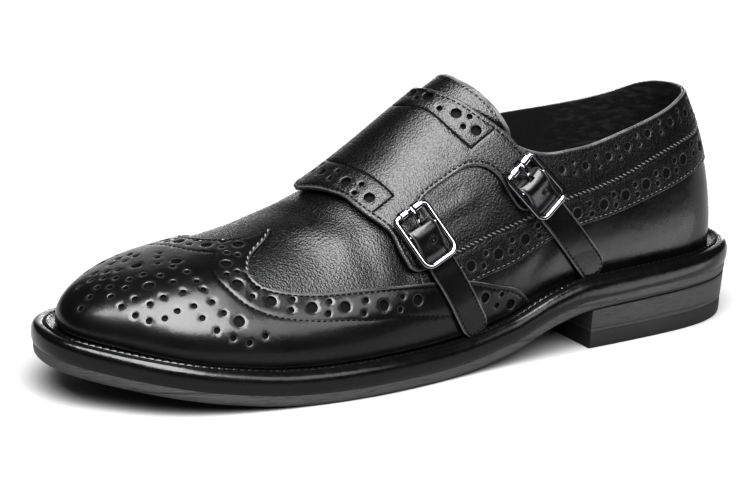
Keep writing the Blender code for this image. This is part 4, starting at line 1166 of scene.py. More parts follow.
def cut_leather(name, skin_finish, edge, holes, layer, scores=(), spacing=1.5, roll=0.3):
    """A panel cut from the flat pattern, punched, scored and laid on the last.

    holes are (x, w, radius); scores are (line, depth, half width) grooves and raised edges.
    """
    low, high = layer
    punches = Punches(holes, edge)
    q, tris, plugs = triangulated(edge, punches, scores, spacing)
    x, w = PATTERN.chart(q)
    edge_gap, punch_gap = distance_to(q, edge, True), punches.gap(q)
    soft = crease(q)
    top = high + soft - roll * (1 - smooth_step(edge_gap / EDGE_ROLL_WIDTH))
    top += EDGE_BEAD * bell(edge_gap - EDGE_BEAD_AT, EDGE_BEAD_WIDTH)
    top -= STITCH_DIP * bell(edge_gap - STITCH_INSET, STITCH_DIP_WIDTH)
    top -= PUNCH_SINK * (1 - smooth_step(punch_gap / PUNCH_SINK_WIDTH))
    for line, depth, width in scores:
        top -= depth * bell(distance_to(q, line) / width * GROOVE_STEEPNESS)
    upper, lower = lay(x, w, top), lay(x, w, low + soft)
    count = len(q)
    # the flat pattern keeps its turn on the last, so the tops are counter-clockwise as cut
    a, b, c = (upper[tris[:, k]] for k in range(3))
    outward = (np.cross(b - a, c - a) * (upper - lower)[tris[:, 0]]).sum(1)
    if np.median(outward) < 0:
        tris, plugs = tris[:, ::-1], plugs[:, ::-1]
    # the holes are blind: their rims are carried down to a floor just over the lower face
    rims = np.unique(plugs)
    floor_of = np.full(count, -1)
    floor_of[rims] = 2 * count + np.arange(len(rims))
    floor = lay(x[rims], w[rims], low + PUNCH_FLOOR + soft[rims])
    directed = {(int(t[k - 1]), int(t[k])) for t in tris for k in range(3)}
    walls = []
    for a, b in sorted(directed):
        if (b, a) not in directed:
            if floor_of[a] >= 0 and floor_of[b] >= 0:
                walls.append((b, a, int(floor_of[a]), int(floor_of[b])))
            else:
                walls.append((b, a, a + count, b + count))
    under = np.concatenate([tris, plugs])[:, ::-1] + count
    faces = tris.tolist() + under.tolist() + walls + floor_of[plugs].tolist()
    piece = coat(blank(name, np.concatenate([upper, lower, floor]), faces),
                 skin_finish, "painted_shade_leather")
    slots = np.zeros(len(faces), np.int32)
    # the hole floors get the backing leather, dark as painted shade
    slots[len(faces) - len(plugs):] = 1
    # narrow grooves get the dark backing too: painted shade in the groove
    for line, _, width in scores:
        if width < PAINTED_SHADE_GROOVE:
            slots[:len(tris)][distance_to(q[tris].mean(1), line) < width * 0.8] = 1
    piece.data.polygons.foreach_set("material_index", slots)
    # cut edges and hole rims are painted lighter: partly wear, partly a painted highlight; walls
    # and floors are not
    rub_and_highlight = np.maximum(bell(edge_gap, EDGE_RUB_HIGHLIGHT_WIDTH), PUNCH_RUB_HIGHLIGHT * bell(punch_gap, PUNCH_RUB_HIGHLIGHT_WIDTH))
    set_rub_and_highlight(piece, np.concatenate([rub_and_highlight, rub_and_highlight * 0, rub_and_highlight[rims] * 0]))
    return piece


def brogued(places, large, small, across=BAND_REACH):
    """Large holes at the places, with a pair of small ones halfway between neighbours."""
    q = PATTERN.flat(np.array(column(places, 0)), np.array(column(places, 1)))
    middle, ahead = (q[1:] + q[:-1]) / 2, unit(q[1:] - q[:-1])
    side = np.stack([-ahead[:, 1], ahead[:, 0]], -1) * across
    pairs = zip(*PATTERN.chart(np.concatenate([middle + side, middle - side])))
    return [(x, w, large) for x, w in places] + [(float(x), float(w), small) for x, w in pairs]


def unique(holes):
    """Drop a hole that would run into one already kept."""
    kept, found = [], []
    for x, w, radius in holes:
        q = PATTERN.flat(x, w)
        if all(np.linalg.norm(q - other) > radius + size + 0.5 for other, size in kept):
            kept.append((q, radius))
            found.append((x, w, radius))
    return found


# ---------------- rows of stitches
def stitch(kind):
    """Pitch, length and thickness of a kind of stitch, in millimetres."""
    pitch, length, thick, _ = STITCHES[kind]
    whole, thread = sizes().stitch_pitch / MM, sizes().thread / MM
    return whole * pitch, whole * length, thread * thick


class Stitches:
    """Rows of short threads, gathered and joined into one mesh."""

    def __init__(self, name, finish_name, slot):
        self.name, self.finish, self.slot = name, finish_name, slot
        self.rows = []

    def along(self, places, ups, pitch, length, thick, slant=0.0):
        """Stitches along a line of places in space, each turned by a slant."""
        s = chord(places)
        count = max(1, int(s[-1] / pitch))
        marks = (np.arange(count) + 0.5) * s[-1] / count
        up = unit(along_line(marks, s, ups))
        way = along_line(marks + 0.4, s, places) - along_line(marks - 0.4, s, places)
        way = unit(way - up * (way * up).sum(1, keepdims=True))
        way = way * math.cos(slant) + np.cross(up, way) * math.sin(slant)
        self.rows.append((along_line(marks, s, places), way, up, np.full(count, length),
                          np.full(count, thick)))

    def row(self, line, top, kind, slant=0.0):
        """A kind of stitch along a line of the flat pattern, sunk into a layer's top."""
        x, w = PATTERN.chart(line)
        height = top - STITCHES[kind][3] + crease(line)
        base = lay(x, w, height)
        self.along(base, lay(x, w, height + 1.0) - base, *stitch(kind), slant)

    def make(self):
        thread = start(bpy.ops.mesh.primitive_uv_sphere_add, "thread", segments=6, ring_count=5,
                       radius=0.5)
        # the ball's poles point along the stitch
        shape = np.array([v.co[:] for v in thread.data.vertices])[:, [2, 0, 1]]
        # sorted, because Blender makes the ball's faces in another order each time
        faces = sorted(tuple(p.vertices) for p in thread.data.polygons)
        bpy.data.objects.remove(thread, do_unlink=True)
        at, way, up, length, thick = (np.concatenate(c)[:, None] for c in zip(*self.rows))
        length, thick = length[..., None], thick[..., None]
        points = (at + way * (shape[None, :, :1] * length)
                  + np.cross(up, way) * (shape[None, :, 1:2] * thick)
                  + up * (shape[None, :, 2:] * thick * 0.8))
        size = len(shape)
        all_faces = [tuple(c + i * size for c in face) for i in range(len(at)) for face in faces]
        piece = coat(blank(self.name, points.reshape(-1, 3), all_faces), self.finish)
        weld(piece, FINE_WELD)
        return dress(piece, angle=80)


# ---------------- the upper
def make_shell():
    """Hollow upper with a rolled collar and a napped inside, drawn in a little at creases."""
    ribs, rows = 230, 40
    t = np.concatenate([np.linspace(0, 1, ribs), np.linspace(1, 0, ribs)[1:-1]])
    side = np.concatenate([np.ones(ribs), -np.ones(ribs - 2)])
    side[(t == 0) | (t == 1)] = 1.0
    x = station_x(t)
    top = topline(x, side)
    length = PATTERN.arc(t, side, np.zeros(len(t)))
    opened = top < 1.0
    softly = smooth_step((THROAT_X - x) / RIM_EASE)
    v_rows, heights = [], []
    for k in range(rows):
        v_rows.append((top - COLLAR_RIM[0][0] / length) * k / rows)
        heights.append(np.full(len(t), SHELL_SKIN))
    for below, height in COLLAR_RIM:
        v_rows.append(np.where(opened, top - below / length, top))
        flat = SHELL_SKIN - SHELL_WALL if height < RIM_MIDDLE else SHELL_SKIN
        heights.append(flat + (height - flat) * np.where(opened, softly, 0.0))
    for k in reversed(range(rows)):
        v_rows.append((top - COLLAR_RIM[-1][0] / length) * k / rows)
        heights.append(np.full(len(t), SHELL_SKIN - SHELL_WALL))
    v, height = np.array(v_rows), np.array(heights)
    sides = np.where(v >= 1.0, 1.0, side[None, :] * np.ones_like(v))
    w = (1 - v) * sides
    q = PATTERN.flat(np.broadcast_to(x, v.shape), w).reshape(-1, 2)
    # the vamp is pressed in a little along the flap's front edge
    press = distance_to(q, beside(seam(FLAP_FRONT), PRESS_AT))
    soft = (crease(q) - PRESS_DEPTH * bell(press, PRESS_WIDTH)).reshape(v.shape)
    places = skin(np.broadcast_to(t, v.shape), w, height + soft)
    places[0, :, 2] = places[-1, :, 2] = UNDERSIDE_Z(x) + FEATHER_LEVEL
    places = np.concatenate([places, places[:1]])
    places = np.concatenate([places, places[:, :1]], axis=1)
    # pebbled in front and over the quarter, smooth below it, napped within
    piece = coat(laid_grid("upper_shell", places),
                 "pebbled_calf", "polished_calf", "napped_lining")
    columns = places.shape[1] - 1
    row, col = np.divmod(np.arange((places.shape[0] - 1) * columns), columns)
    lower = np.abs(w[np.minimum(row, len(w) - 1), col % len(x)]) > SMOOTH_BELOW_W
    smooth = (x[col % len(x)] < SMOOTH_BEHIND_X) & lower
    slot = np.where(row >= rows + len(COLLAR_RIM) // 2, 2, np.where(smooth, 1, 0))
    piece.data.polygons.foreach_set("material_index", slot.astype(np.int32))
    # the collar's rolled edge is painted lighter: partly wear, partly a painted highlight
    near = np.array([max(0.0, 1 - below / RIM_RUB_HIGHLIGHT_WIDTH) for below, _ in COLLAR_RIM])
    rub_and_highlight = np.zeros((len(v) + 1, v.shape[1]))
    rub_and_highlight[rows:rows + len(COLLAR_RIM)] = near[:, None] * np.where(opened, 1.0, 0.0)
    set_rub_and_highlight(piece, np.concatenate([rub_and_highlight, rub_and_highlight[:, :1]], axis=1).ravel())
    # closed ribs have no rim: its folded faces go
    shut = ((row >= rows) & (row < rows + len(COLLAR_RIM) - 1)
            & (top[col % len(x)] >= 1.0) & (top[(col + 1) % len(x)] >= 1.0))
    select_only(piece)
    piece.data.polygons.foreach_set("select", shut)
    piece.data.edges.foreach_set("select", np.zeros(len(piece.data.edges), bool))
    piece.data.vertices.foreach_set("select", np.zeros(len(piece.data.vertices), bool))
    bpy.ops.object.mode_set(mode="EDIT")
    bpy.context.tool_settings.mesh_select_mode = (False, False, True)
    bpy.ops.mesh.delete(type="FACE")
    bpy.ops.mesh.select_all(action="SELECT")
    bpy.ops.object.mode_set(mode="OBJECT")
    return piece


class SHOE_OT_upper(Operator):
    """The hollow shell of the shoe: vamp, quarters, rolled collar and lining"""
    bl_idname = "shoe.upper"
    bl_label = "Upper"

    def execute(self, context):
        piece = make_shell()
        weld(piece, 4e-6)
        dress(piece, ("upper",), angle=50)
        return {"FINISHED"}


def mirrored(places):
    return [(x, -w) for x, w in places]


def below_collar(xs, side, inset):
    """Charted w of places an inset in millimetres below the collar's edge."""
    reach = PATTERN.arc(station(xs), np.full(len(xs), side), np.zeros(len(xs)))
    return side * (1 - topline(xs, side) + inset / reach)


def quarter_outline():
    """Round the heel: under the collar, down the front edges and back along the lower seam."""
    to_x, inset = QUARTER_UNDER_COLLAR
    xs = np.linspace(0, to_x, 40)
    outer, inner = ([(float(x), float(w)) for x, w in zip(xs, below_collar(xs, side, inset))]
                    for side in (1.0, -1.0))
    return joined(seam(outer[::-1] + inner[1:]),
                  seam([inner[-1]] + mirrored(QUARTER_FRONT)),
                  seam(mirrored(LINE_2[::-1]) + LINE_2[1:]),
                  seam(QUARTER_FRONT[::-1] + [outer[-1]]))


class SHOE_OT_quarter(Operator):
    """The grained quarter that wraps the heel, punched in two bands"""
    bl_idname = "shoe.quarter"
    bl_label = "Quarter"

    def execute(self, context):
        large, small = punch_radii()
        holes = []
        for turn in (list, mirrored):
            holes += brogued(turn(QUARTER_LARGE_A), large * UPPER_BAND_SHARE,
                             small * UPPER_BAND_SHARE)
            holes += brogued(turn(QUARTER_LARGE_B), large, small)
        scores = [(beside(seam(LINE_1), QUARTER_GROOVE_INSET), *QUARTER_GROOVE),
                  (beside(seam(mirrored(LINE_1)), -QUARTER_GROOVE_INSET), *QUARTER_GROOVE)]
        piece = cut_leather("quarter", "pebbled_calf", quarter_outline(), holes, QUARTER_LAYER,
                            scores)
        dress(piece)
        return {"FINISHED"}


class SHOE_OT_wingtip(Operator):
    """The toe cap with its two wings, punched with the medallion and the band"""
    bl_idname = "shoe.wingtip"
    bl_label = "Wingtip"

    def execute(self, context):
        large, small = punch_radii()
        xs = station_x(np.linspace(float(station(WING_OUTER[0][0])), 1.0, 40))
        foot = [(float(x), WING_OUTER[0][1]) for x in xs]
        edge = joined(seam(WING_OUTER), seam(PEAK_OUTER), seam(PEAK_INNER), seam(WING_INNER),
                      seam(mirrored(foot)), seam(foot[::-1]))
        holes = [(x, w, large) for x, w in CAP_LARGE] + [(x, w, small) for x, w in CAP_SMALL]
        holes += brogued(BAND_LARGE_OUTER, large, small)
        holes += brogued(BAND_LARGE_TOP, large, small)[1:]
        holes += brogued(BAND_LARGE_INNER, large, small)
        for turn in (list, mirrored):
            holes += [(x, w, large) for x, w in turn(BAND_END_LARGE)]
            holes += [(x, w, small) for x, w in turn(BAND_END_SMALL)]
        scores = [(seam(line), *CAP_GROOVE) for line in CAP_LINES]
        scores += [(beside(seam(line), STITCH_INSET), *STITCH_GROOVE) for line in WING_EDGES]
        piece = cut_leather("wingtip_cap", "polished_calf", edge, unique(holes), WING_LAYER,
                            scores)
        dress(piece, ("wingtip",))
        return {"FINISHED"}


class SHOE_OT_flap(Operator):
    """The flap over the instep with its two straps, folded edges and punched bands"""
    bl_idname = "shoe.flap"
    bl_label = "Flap"

    def execute(self, context):
        large, small = punch_radii()
        edge = joined(*(seam(line) for line in (*FLAP_EDGES, FLAP_INNER_END)))
        holes = brogued(FRONT_BAND_LARGE, large, small, FLAP_BAND_REACH)
        holes += brogued(REAR_BAND_LARGE, large, small, FLAP_BAND_REACH)
        scores = [(seam(line), *BAND_GROOVE) for line in FLAP_BANDS]
        scores += [(beside(seam(line), STITCH_INSET), *STITCH_GROOVE)
                   for line in (FLAP_FRONT, CUT_EDGE, FLAP_REAR)]
        piece = cut_leather("flap", "pebbled_calf", edge, unique(holes), FLAP_LAYER, scores,
                            spacing=1.4, roll=0.35)
        dress(piece, ("monk_flap",), angle=45)
        return {"FINISHED"}


# ---------------- tongue
def tongue_height(x, w):
    """Height over the last: level with the collar in the throat, tucked under beside it."""
    opening = 1 - topline(x, np.where(w >= 0, 1.0, -1.0))
    rise = smooth_step((opening - np.abs(w)) / TONGUE_TUCK_W)
    rise = rise * smooth_step((TONGUE_TUCK_FROM_X - x) / TONGUE_TUCK_OVER)
    return -TONGUE_TUCK + TONGUE_TUCK * rise


def tongue_top(w):
    """Station of the tongue's top edge."""
    return table_curve(TONGUE_TOP)(np.abs(w))


class SHOE_OT_tongue(Operator):
    """The tongue, raised in the throat and tucked under the quarters beside it"""
    bl_idname = "shoe.tongue"
    bl_label = "Tongue"

    def execute(self, context):
        w = np.linspace(TONGUE_HALF_W, -TONGUE_HALF_W, 91)
        share = np.concatenate([[0, .008, .02, .04], np.linspace(.07, 1, 34)])
        from_x = tongue_top(w)[None, :]
        x = from_x + (TONGUE_END_X - from_x) * share[:, None]
        w = np.broadcast_to(w, x.shape)
        level = tongue_height(x, w)
        roll = TONGUE_ROLL * (1 - smooth_step((x - from_x) / TONGUE_ROLL_WIDTH))
        upper = lay(x, w, level - roll)
        lower = lay(x, w, level - TONGUE_THICK + roll * 0.6)
        loop = np.concatenate([upper, lower[::-1], upper[:1]])
        piece = coat(laid_grid("tongue_leather", loop), "pebbled_calf")
        # the tongue's top edge is painted lighter: partly wear, partly a painted highlight
        rub_and_highlight = np.zeros(loop.shape[:2])
        rub_and_highlight[:3] = rub_and_highlight[-3:] = 1.0
        set_rub_and_highlight(piece, rub_and_highlight.ravel())
        weld(piece, closed=False)
        close_ends(piece)
        dress(piece, ("tongue",), angle=60)
        return {"FINISHED"}


# ---------------- tabs and buckles
def charted(place):
    return lay(place[0], place[1], 0.0)


def buckle_axes(spec):
    """Centre, down-strap, across and outward directions of a buckle lying on the last."""
    centre = charted(spec["centre"])
    out = lay(*spec["centre"], 1.0) - centre
    down = charted(spec["below"]) - charted(spec["above"])
    down = unit(down - out * np.dot(down, out))
    return centre, down, np.cross(out, down), out


def to_world(axes, u, s, h):
    centre, down, across, out = axes
    return centre + down * u + across * s + out * h


def outer_side_tree():
    """The last's outer side as a surface to drape the tabs on."""
    ribs, steps, turns_under, slope_to, drop = 220, 90, 9, 15, 1.4
    t, v = np.meshgrid(np.linspace(0.2, 0.8, ribs), np.linspace(0, 1, steps), indexing="ij")
    places = last_point(t, 1.0, v)
    # a tab hangs straight where the last turns under
    way = unit(places[:, turns_under] - places[:, slope_to])
    for row in range(turns_under):
        places[:, row] = places[:, turns_under] + way * (turns_under - row) * drop
    points = [Vector(p) for p in places.reshape(-1, 3)]
    faces = [(i * steps + j, (i + 1) * steps + j, (i + 1) * steps + j + 1, i * steps + j + 1)
             for i in range(ribs - 1) for j in range(steps - 1)]
    return BVHTree.FromPolygons(points, faces)


def drape(tree, axes, u, s):
    """Place and outward normal of the outer side below a place of a buckle's plane."""
    place, normal, _, _ = tree.ray_cast(Vector(to_world(axes, u, s, 40.0)), Vector(-axes[3]))
    normal = np.array(normal)
    return np.array(place), normal * np.sign(np.dot(normal, axes[3]))


def tab_low(u, spec):
    """Lower face of a tab: on the strap end, then down on the quarter."""
    down = smooth_step((u - spec["strap_end"]) / 4.0)
    return float(TAB_OVER_STRAP + (spec["base"] - TAB_OVER_STRAP) * down)


def tab_high(u, spec):
    """Upper face of a tab: a fold rounded over the centre bar, easing down to the strap."""
    if u < FOLD_TOP:
        fold = math.sqrt(max(0.01, 1 - ((FOLD_TOP - u) / (FOLD_TOP - TAB_START)) ** 2))
        return tab_low(u, spec) + (TAB_THICK + FOLD_RISE) * fold
    ease = float(smooth_step((FOLD_END - u) / (FOLD_END - FOLD_TOP)))
    return tab_low(u, spec) + TAB_THICK + FOLD_RISE * ease


def tab_face(u, share, edge, eye, spec):
    """Upper face of a tab with its soft edges, its crown in the buckle and its eyelet."""
    soft = float(smooth_step(edge / TAB_EDGE_WIDTH))
    high = tab_high(u, spec) - TAB_EDGE_DROP * TAB_THICK * (1 - soft) * (u > TAB_START + 1)
    crown = float(smooth_step((TAB_CROWN_REACH - abs(u - TAB_CROWN_AT)) / TAB_CROWN_REACH))
    high += TAB_CROWN * crown * (1 - share * share)
    # the eyelet is pressed through, with a raised ring round it
    high += EYELET_RING * bell(eye - EYELET_RADIUS, EYELET_RING_WIDTH)
    return high - EYELET_DEPTH * bell(eye, EYELET_WIDTH)


def tab_shape(spec):
    """A tab's axes and length, and its middle and half width at a distance down the strap."""
    axes = buckle_axes(spec)
    far = charted(spec["tab_end"]) - axes[0]
    length, drift = float(np.dot(far, axes[1])) + TAB_REACH, float(np.dot(far, axes[2]))

    def middle(u):
        return drift * max(0.0, (u - TAB_STRAIGHT_TO) / (length - TAB_STRAIGHT_TO))

    def half(u):
        wide = TAB_HALF_IN_BUCKLE + (TAB_HALF - TAB_HALF_IN_BUCKLE) * float(
            smooth_step((u - 10) / 4))
        for end, round_off in ((TAB_START, FOLD_ROUND), (length, TAB_ROUND)):
            gap = abs(u - end)
            if gap < round_off:
                wide -= round_off - math.sqrt(max(0.0, round_off ** 2 - (round_off - gap) ** 2))
        return wide

    return axes, length, middle, half


def tab_cuts(length):
    """Distances down the strap of a tab's cross sections, close at both rounded ends."""
    quarter = 1 - np.cos(np.linspace(0, np.pi / 2, 12))
    fold = 1 - np.cos(np.linspace(0, np.pi / 2, 6))
    even = np.arange(TAB_START + 1.2, length - TAB_ROUND - 0.2, TAB_STEP)
    return sorted(set(np.round(np.concatenate(
        [TAB_START + fold, even, [SLOT[1]], length - TAB_ROUND * quarter]), 4)))


class SHOE_OT_tabs(Operator):
    """The two leather tabs that hold the buckles, with slot and eyelet"""
    bl_idname = "shoe.tabs"
    bl_label = "Buckle tabs"

    def execute(self, context):
        tree = outer_side_tree()
        half_across = [.09, .18, SLOT_SHARE, .36, .45, .54, .63, .72, .81, .89, .96, 1]
        across = [-f for f in half_across[::-1]] + [0] + half_across
        for name, spec in BUCKLES.items():
            axes, length, middle, half = tab_shape(spec)
            cuts = tab_cuts(length)
            hole = charted(spec["eyelet"]) - axes[0]
            eyelet = float(np.dot(hole, axes[1])), float(np.dot(hole, axes[2]))
            upper, lower, rub_and_highlight = [], [], []
            for u in cuts:
                for f in across:
                    s = middle(u) + half(u) * f
                    place, normal = drape(tree, axes, u, s)
                    edge = min(half(u) * (1 - abs(f)), u - TAB_START, length - u)
                    eye = math.hypot(u - eyelet[0], s - eyelet[1])
                    upper.append(place + normal * tab_face(u, f, edge, eye, spec))
                    lower.append(place + normal * tab_low(u, spec))
                    # a tab's edges are painted lighter: partly wear, partly a painted highlight
                    rub_and_highlight.append(bell(edge, TAB_RUB_HIGHLIGHT_WIDTH))
            piece = coat(slotted("tab_" + name, upper, lower, cuts, across), "polished_calf")
            set_rub_and_highlight(piece, np.concatenate([rub_and_highlight, np.zeros(len(rub_and_highlight))]))
            dress(piece, ("buckle_tab_" + name,), angle=45)
        return {"FINISHED"}


def slotted(name, upper, lower, cuts, across):
    """A closed solid between two grids, left open where the prong passes through."""
    columns = len(across)
    size = len(cuts) * columns
    top = []
    for i in range(len(cuts) - 1):
        for j in range(columns - 1):
            u, f = (cuts[i] + cuts[i + 1]) / 2, (across[j] + across[j + 1]) / 2
            if not (SLOT[0] < u < SLOT[1] and abs(f) < SLOT_SHARE):
                corner = i * columns + j
                top.append((corner, corner + columns, corner + columns + 1, corner + 1))
    faces = list(top) + [tuple(c + size for c in face[::-1]) for face in top]
    edges = {(a, b) for face in top for a, b in zip(face, face[1:] + face[:1])}
    faces += [(b, a, a + size, b + size) for a, b in sorted(edges) if (b, a) not in edges]
    return blank(name, upper + lower, faces)


def wire(name, places, radius):
    """A round bar along places in millimetres."""
    start(bpy.ops.curve.primitive_nurbs_path_add, name)
    piece = bpy.context.active_object
    curve = piece.data
    curve.splines.clear()
    spline = curve.splines.new("POLY")
    spline.points.add(len(places) - 1)
    spline.points.foreach_set("co", np.concatenate(
        [np.asarray(places) * MM, np.ones((len(places), 1))], axis=1).ravel())
    curve.dimensions = "3D"
    curve.bevel_depth = radius * MM
    curve.bevel_resolution = 5
    curve.use_fill_caps = True
    select_only(piece)
    bpy.ops.object.convert(target="MESH")
    made = bpy.context.active_object
    made.name = made.data.name = name
    return made


def squared(turn, power):
    """A cosine or sine flattened, so that a round section turns into a rounded rectangle."""
    return math.copysign(abs(turn) ** power, turn)


class SHOE_OT_buckles(Operator):
    """Both buckles: rounded frame and bar, two-part roller, and prong"""
    bl_idname = "shoe.buckles"
    bl_label = "Buckles"

    def execute(self, context):
        for name, spec in BUCKLES.items():
            axes = buckle_axes(spec)
            dress(self.frame(axes, name), ("buckle_frame_" + name,), 60)
            for number, way in ((1, 1), (2, -1)):
                dress(self.roller(axes, name, number, way),
                      (f"buckle_roller_{name}_{number}",), 40)
            dress(self.prong(axes, name), ("buckle_prong_" + name,), 50)
        return {"FINISHED"}

    def frame(self, axes, name):
        """The ring, whose section is a rectangle with round corners, and its centre bar."""
        path = []
        for corner, (su, ss) in enumerate(((1, 1), (-1, 1), (-1, -1), (1, -1))):
            radius = FRAME_CORNERS[0 if su > 0 else 1]
            u = FRAME_ENDS[su > 0] - su * radius
            s = ss * (FRAME_HALF_WIDTH - radius)
            for i in range(11):
                turn = math.radians(90 * corner + 9 * i)
                section = []
                for a in np.linspace(0, 2 * np.pi, 21):
                    wide = radius + FRAME_BAR[0] * squared(math.cos(a), FRAME_SQUARENESS[0])
                    section.append(to_world(
                        axes, u + wide * math.cos(turn), s + wide * math.sin(turn),
                        FRAME_HEIGHT + FRAME_BAR[1] * squared(math.sin(a), FRAME_SQUARENESS[1])))
                path.append(section)
        ring = laid_grid("buckle_ring_" + name, np.array(path + path[:1]))
        weld(ring, FINE_WELD)
        bar = wire("buckle_bar_" + name,
                   [to_world(axes, BAR_AT, s, FRAME_HEIGHT)
                    for s in np.linspace(-FRAME_HALF_WIDTH, FRAME_HALF_WIDTH, 9)], BAR_RADIUS)
        select_only(ring)
        bar.select_set(True)
        bpy.ops.object.join()
        return coat(ring, "black_nickel")

    def roller(self, axes, name, number, way):
        """A rolled sleeve with softly turned ends."""
        (low, high), shoulder = ROLLER_SPAN, ROLLER_OUTER - ROLLER_TURNED
        profile = [(low, ROLLER_BORE), (low, shoulder), (low + ROLLER_TURNED, ROLLER_OUTER),
                   (high - ROLLER_TURNED, ROLLER_OUTER), (high, shoulder), (high, ROLLER_BORE),
                   (low, ROLLER_BORE)]
        rings = [[to_world(axes, FRAME_ENDS[0] + radius * math.cos(a), way * s,
                           FRAME_HEIGHT + radius * math.sin(a))
                  for a in np.linspace(0, 2 * np.pi, 33)] for s, radius in profile]
        piece = laid_grid(f"roller_{name}_{number}", np.array(rings))
        weld(piece, FINE_WELD)
        return coat(piece, "black_nickel")

    def prong(self, axes, name):
        """A flattened pin that tapers to its rounded tip over the rollers."""
        u, h = np.array(PRONG_PATH).T
        s = chord(np.array(PRONG_PATH))
        marks = np.linspace(0, s[-1], 40)
        us, hs = natural_curve(s, u)(marks), natural_curve(s, h)(marks)
        du, dh = np.gradient(us), np.gradient(hs)
        norm = np.hypot(du, dh)
        rings = []
        for k, mark in enumerate(marks):
            share = mark / s[-1]
            past = max(0.0, 1 - (1 - share) / PRONG_TIP_SHARE)
            tip = math.sqrt(max(0.02, 1 - past ** 2))
            half_w = (PRONG_HALF_WIDTH - PRONG_TAPER * share) * tip
            half_t = PRONG_HALF_THICK * tip
            lift = (-dh[k] / norm[k], du[k] / norm[k])
            ring = []
            for a in np.linspace(0, 2 * np.pi, 17):
                rise = half_t * squared(math.sin(a), PRONG_SQUARENESS)
                side = half_w * squared(math.cos(a), PRONG_SQUARENESS)
                ring.append(to_world(axes, us[k] - lift[0] * rise, side, hs[k] - lift[1] * rise))
            rings.append(ring)
        piece = laid_grid("prong_" + name, np.array(rings))
        weld(piece, FINE_WELD, closed=False)
        close_ends(piece)
        return coat(piece, "black_nickel")


# ---------------- the bottom
def feather_ring(count):
    """Places and outward directions round the feather line, evenly spaced by length."""
    t = np.linspace(0, 1, 2001)
    outer = np.stack(feather_point(t, 1.0), -1)
    inner = np.stack(feather_point(t, -1.0), -1)
    line = np.concatenate([outer, inner[::-1][1:]])
    s = chord(line)
    marks = np.linspace(0, s[-1], count, endpoint=False)

    def at(m):
        return along_line(np.mod(m, s[-1]), s, line)

    ahead = unit(at(marks + 0.4) - at(marks - 0.4))
    return at(marks), np.stack([-ahead[:, 1], ahead[:, 0]], -1), marks


def layer_piece(name, profile, count, notch=None):
    """A layer of the bottom: a profile of (offset, level) carried round the feather line."""
    line, out, marks = feather_ring(count)
    places = []
    for k, (offset, level) in enumerate(profile):
        spot = line + out * offset
        z = level(spot[:, 0] + HALF_LENGTH)
        if notch is not None:
            z = z + notch(k, marks)
        places.append(np.column_stack([spot, z]))
    return stack_rings(name, np.array(places).transpose(1, 0, 2))


def stack_rings(name, places, breast=False):
    """Faces round a ring of profiles, with the underside and the top filled across."""
    loops, rows = places.shape[:2]
    faces = []
    for i in range(loops - 1 if breast else loops):
        j = (i + 1) % loops
        faces += [(i * rows + k, j * rows + k, j * rows + k + 1, i * rows + k + 1)
                  for k in range(rows - 1)]
    last = loops - 1
    if breast:
        pairs = [(i, last - i) for i in range((loops + 1) // 2)]
    else:
        pairs = [(i, (loops - i) % loops) for i in range(loops // 2 + 1)]
    for (a, b), (c, d) in zip(pairs, pairs[1:]):
        for k in (0, rows - 1):
            # a corner shared by both sides is named once
            face = tuple(dict.fromkeys(corner * rows + k for corner in (a, c, d, b)))
            if len(face) > 2:
                faces.append(face)
    if breast:
        faces += [(k, k + 1, last * rows + k + 1, last * rows + k) for k in range(rows - 1)]
    piece = blank(name, places.reshape(-1, 3), faces)
    weld(piece, FINE_WELD)
    return piece


def heel_block(name, profile):
    """A block under the heel seat with a flat breast."""
    line, out, _ = feather_ring(HEEL_COUNT)
    size = len(line)
    keep = [i for i in range(size) if line[i, 0] + HALF_LENGTH < BREAST_X - 0.4]
    order = sorted(keep, key=lambda i: (i + size // 2) % size)[::-1]
    line, out = line[order], out[order]
    places = []
    for offset, level in profile:
        spot = line + out * offset
        spot[0, 0] = spot[-1, 0] = BREAST_X - HALF_LENGTH
        spot[:, 0] = np.minimum(spot[:, 0], BREAST_X - HALF_LENGTH)
        places.append(np.column_stack([spot, level(spot[:, 0] + HALF_LENGTH)]))
    return stack_rings(name, np.array(places).transpose(1, 0, 2), breast=True)


def over_sole(height):
    """A level that follows the sole's underside."""
    return lambda x: UNDERSIDE_Z(x) + height


def over_floor(height):
    return lambda x: np.full(len(x), height)


def between(share, low, high):
    """Part of the way from one level to another."""
    return lambda x: low(x) + (high(x) - low(x)) * share


def levelled(profile, over):
    """A profile with its heights turned into levels over the sole's underside or the floor."""
    return [(offset, over(height)) for offset, height in profile]


def wheeled(k, marks):
    """Notches pressed at every stitch into the rows of the storm welt's ridge."""
    if k not in WELT_NOTCHED_ROWS:
        return 0.0
    beat = np.abs(np.sin(np.pi * marks / WELT_PITCH))
    return -WELT_NOTCH * (1 - np.minimum(1.0, beat * NOTCH_STEEPNESS))


class SHOE_OT_bottom(Operator):
    """The sole: outsole, storm welt with its wheeled ridge, insole, heel stack and top lift"""
    bl_idname = "shoe.bottom"
    bl_label = "Sole and heel"

    def execute(self, context):
        edge = layer_piece("outsole_edge", levelled(OUTSOLE_PROFILE, over_sole), EDGE_COUNT)
        dress(coat(edge, "sole_leather"), ("outsole",), 35)
        welt = layer_piece("storm_welt", levelled(WELT_PROFILE, over_sole), WELT_COUNT, wheeled)
        dress(coat(welt, "waxed_welt"), ("midsole_welt",), 35)
        insole = layer_piece("insole_board", levelled(INSOLE_PROFILE, over_sole), INSOLE_COUNT)
        dress(coat(insole, "napped_lining"), ("insole",), 35)
        low, high = over_floor(STACK_FROM_Z), over_sole(STACK_INTO_SOLE)
        flare = [(STACK_SIDE + STACK_FLARE * f, between(f, low, high))
                 for f in np.linspace(0, 1, 9)]
        stack = heel_block("heel_stack_leather", [(STACK_FOOT, low), *flare, (STACK_TOP, high)])
        dress(coat(stack, "stacked_heel"), ("heel_stack",), 35)
        lift = heel_block("heel_top_lift", levelled(LIFT_PROFILE, over_floor))
        dress(coat(lift, "heel_rubber"), ("top_lift",), 35)
        return {"FINISHED"}


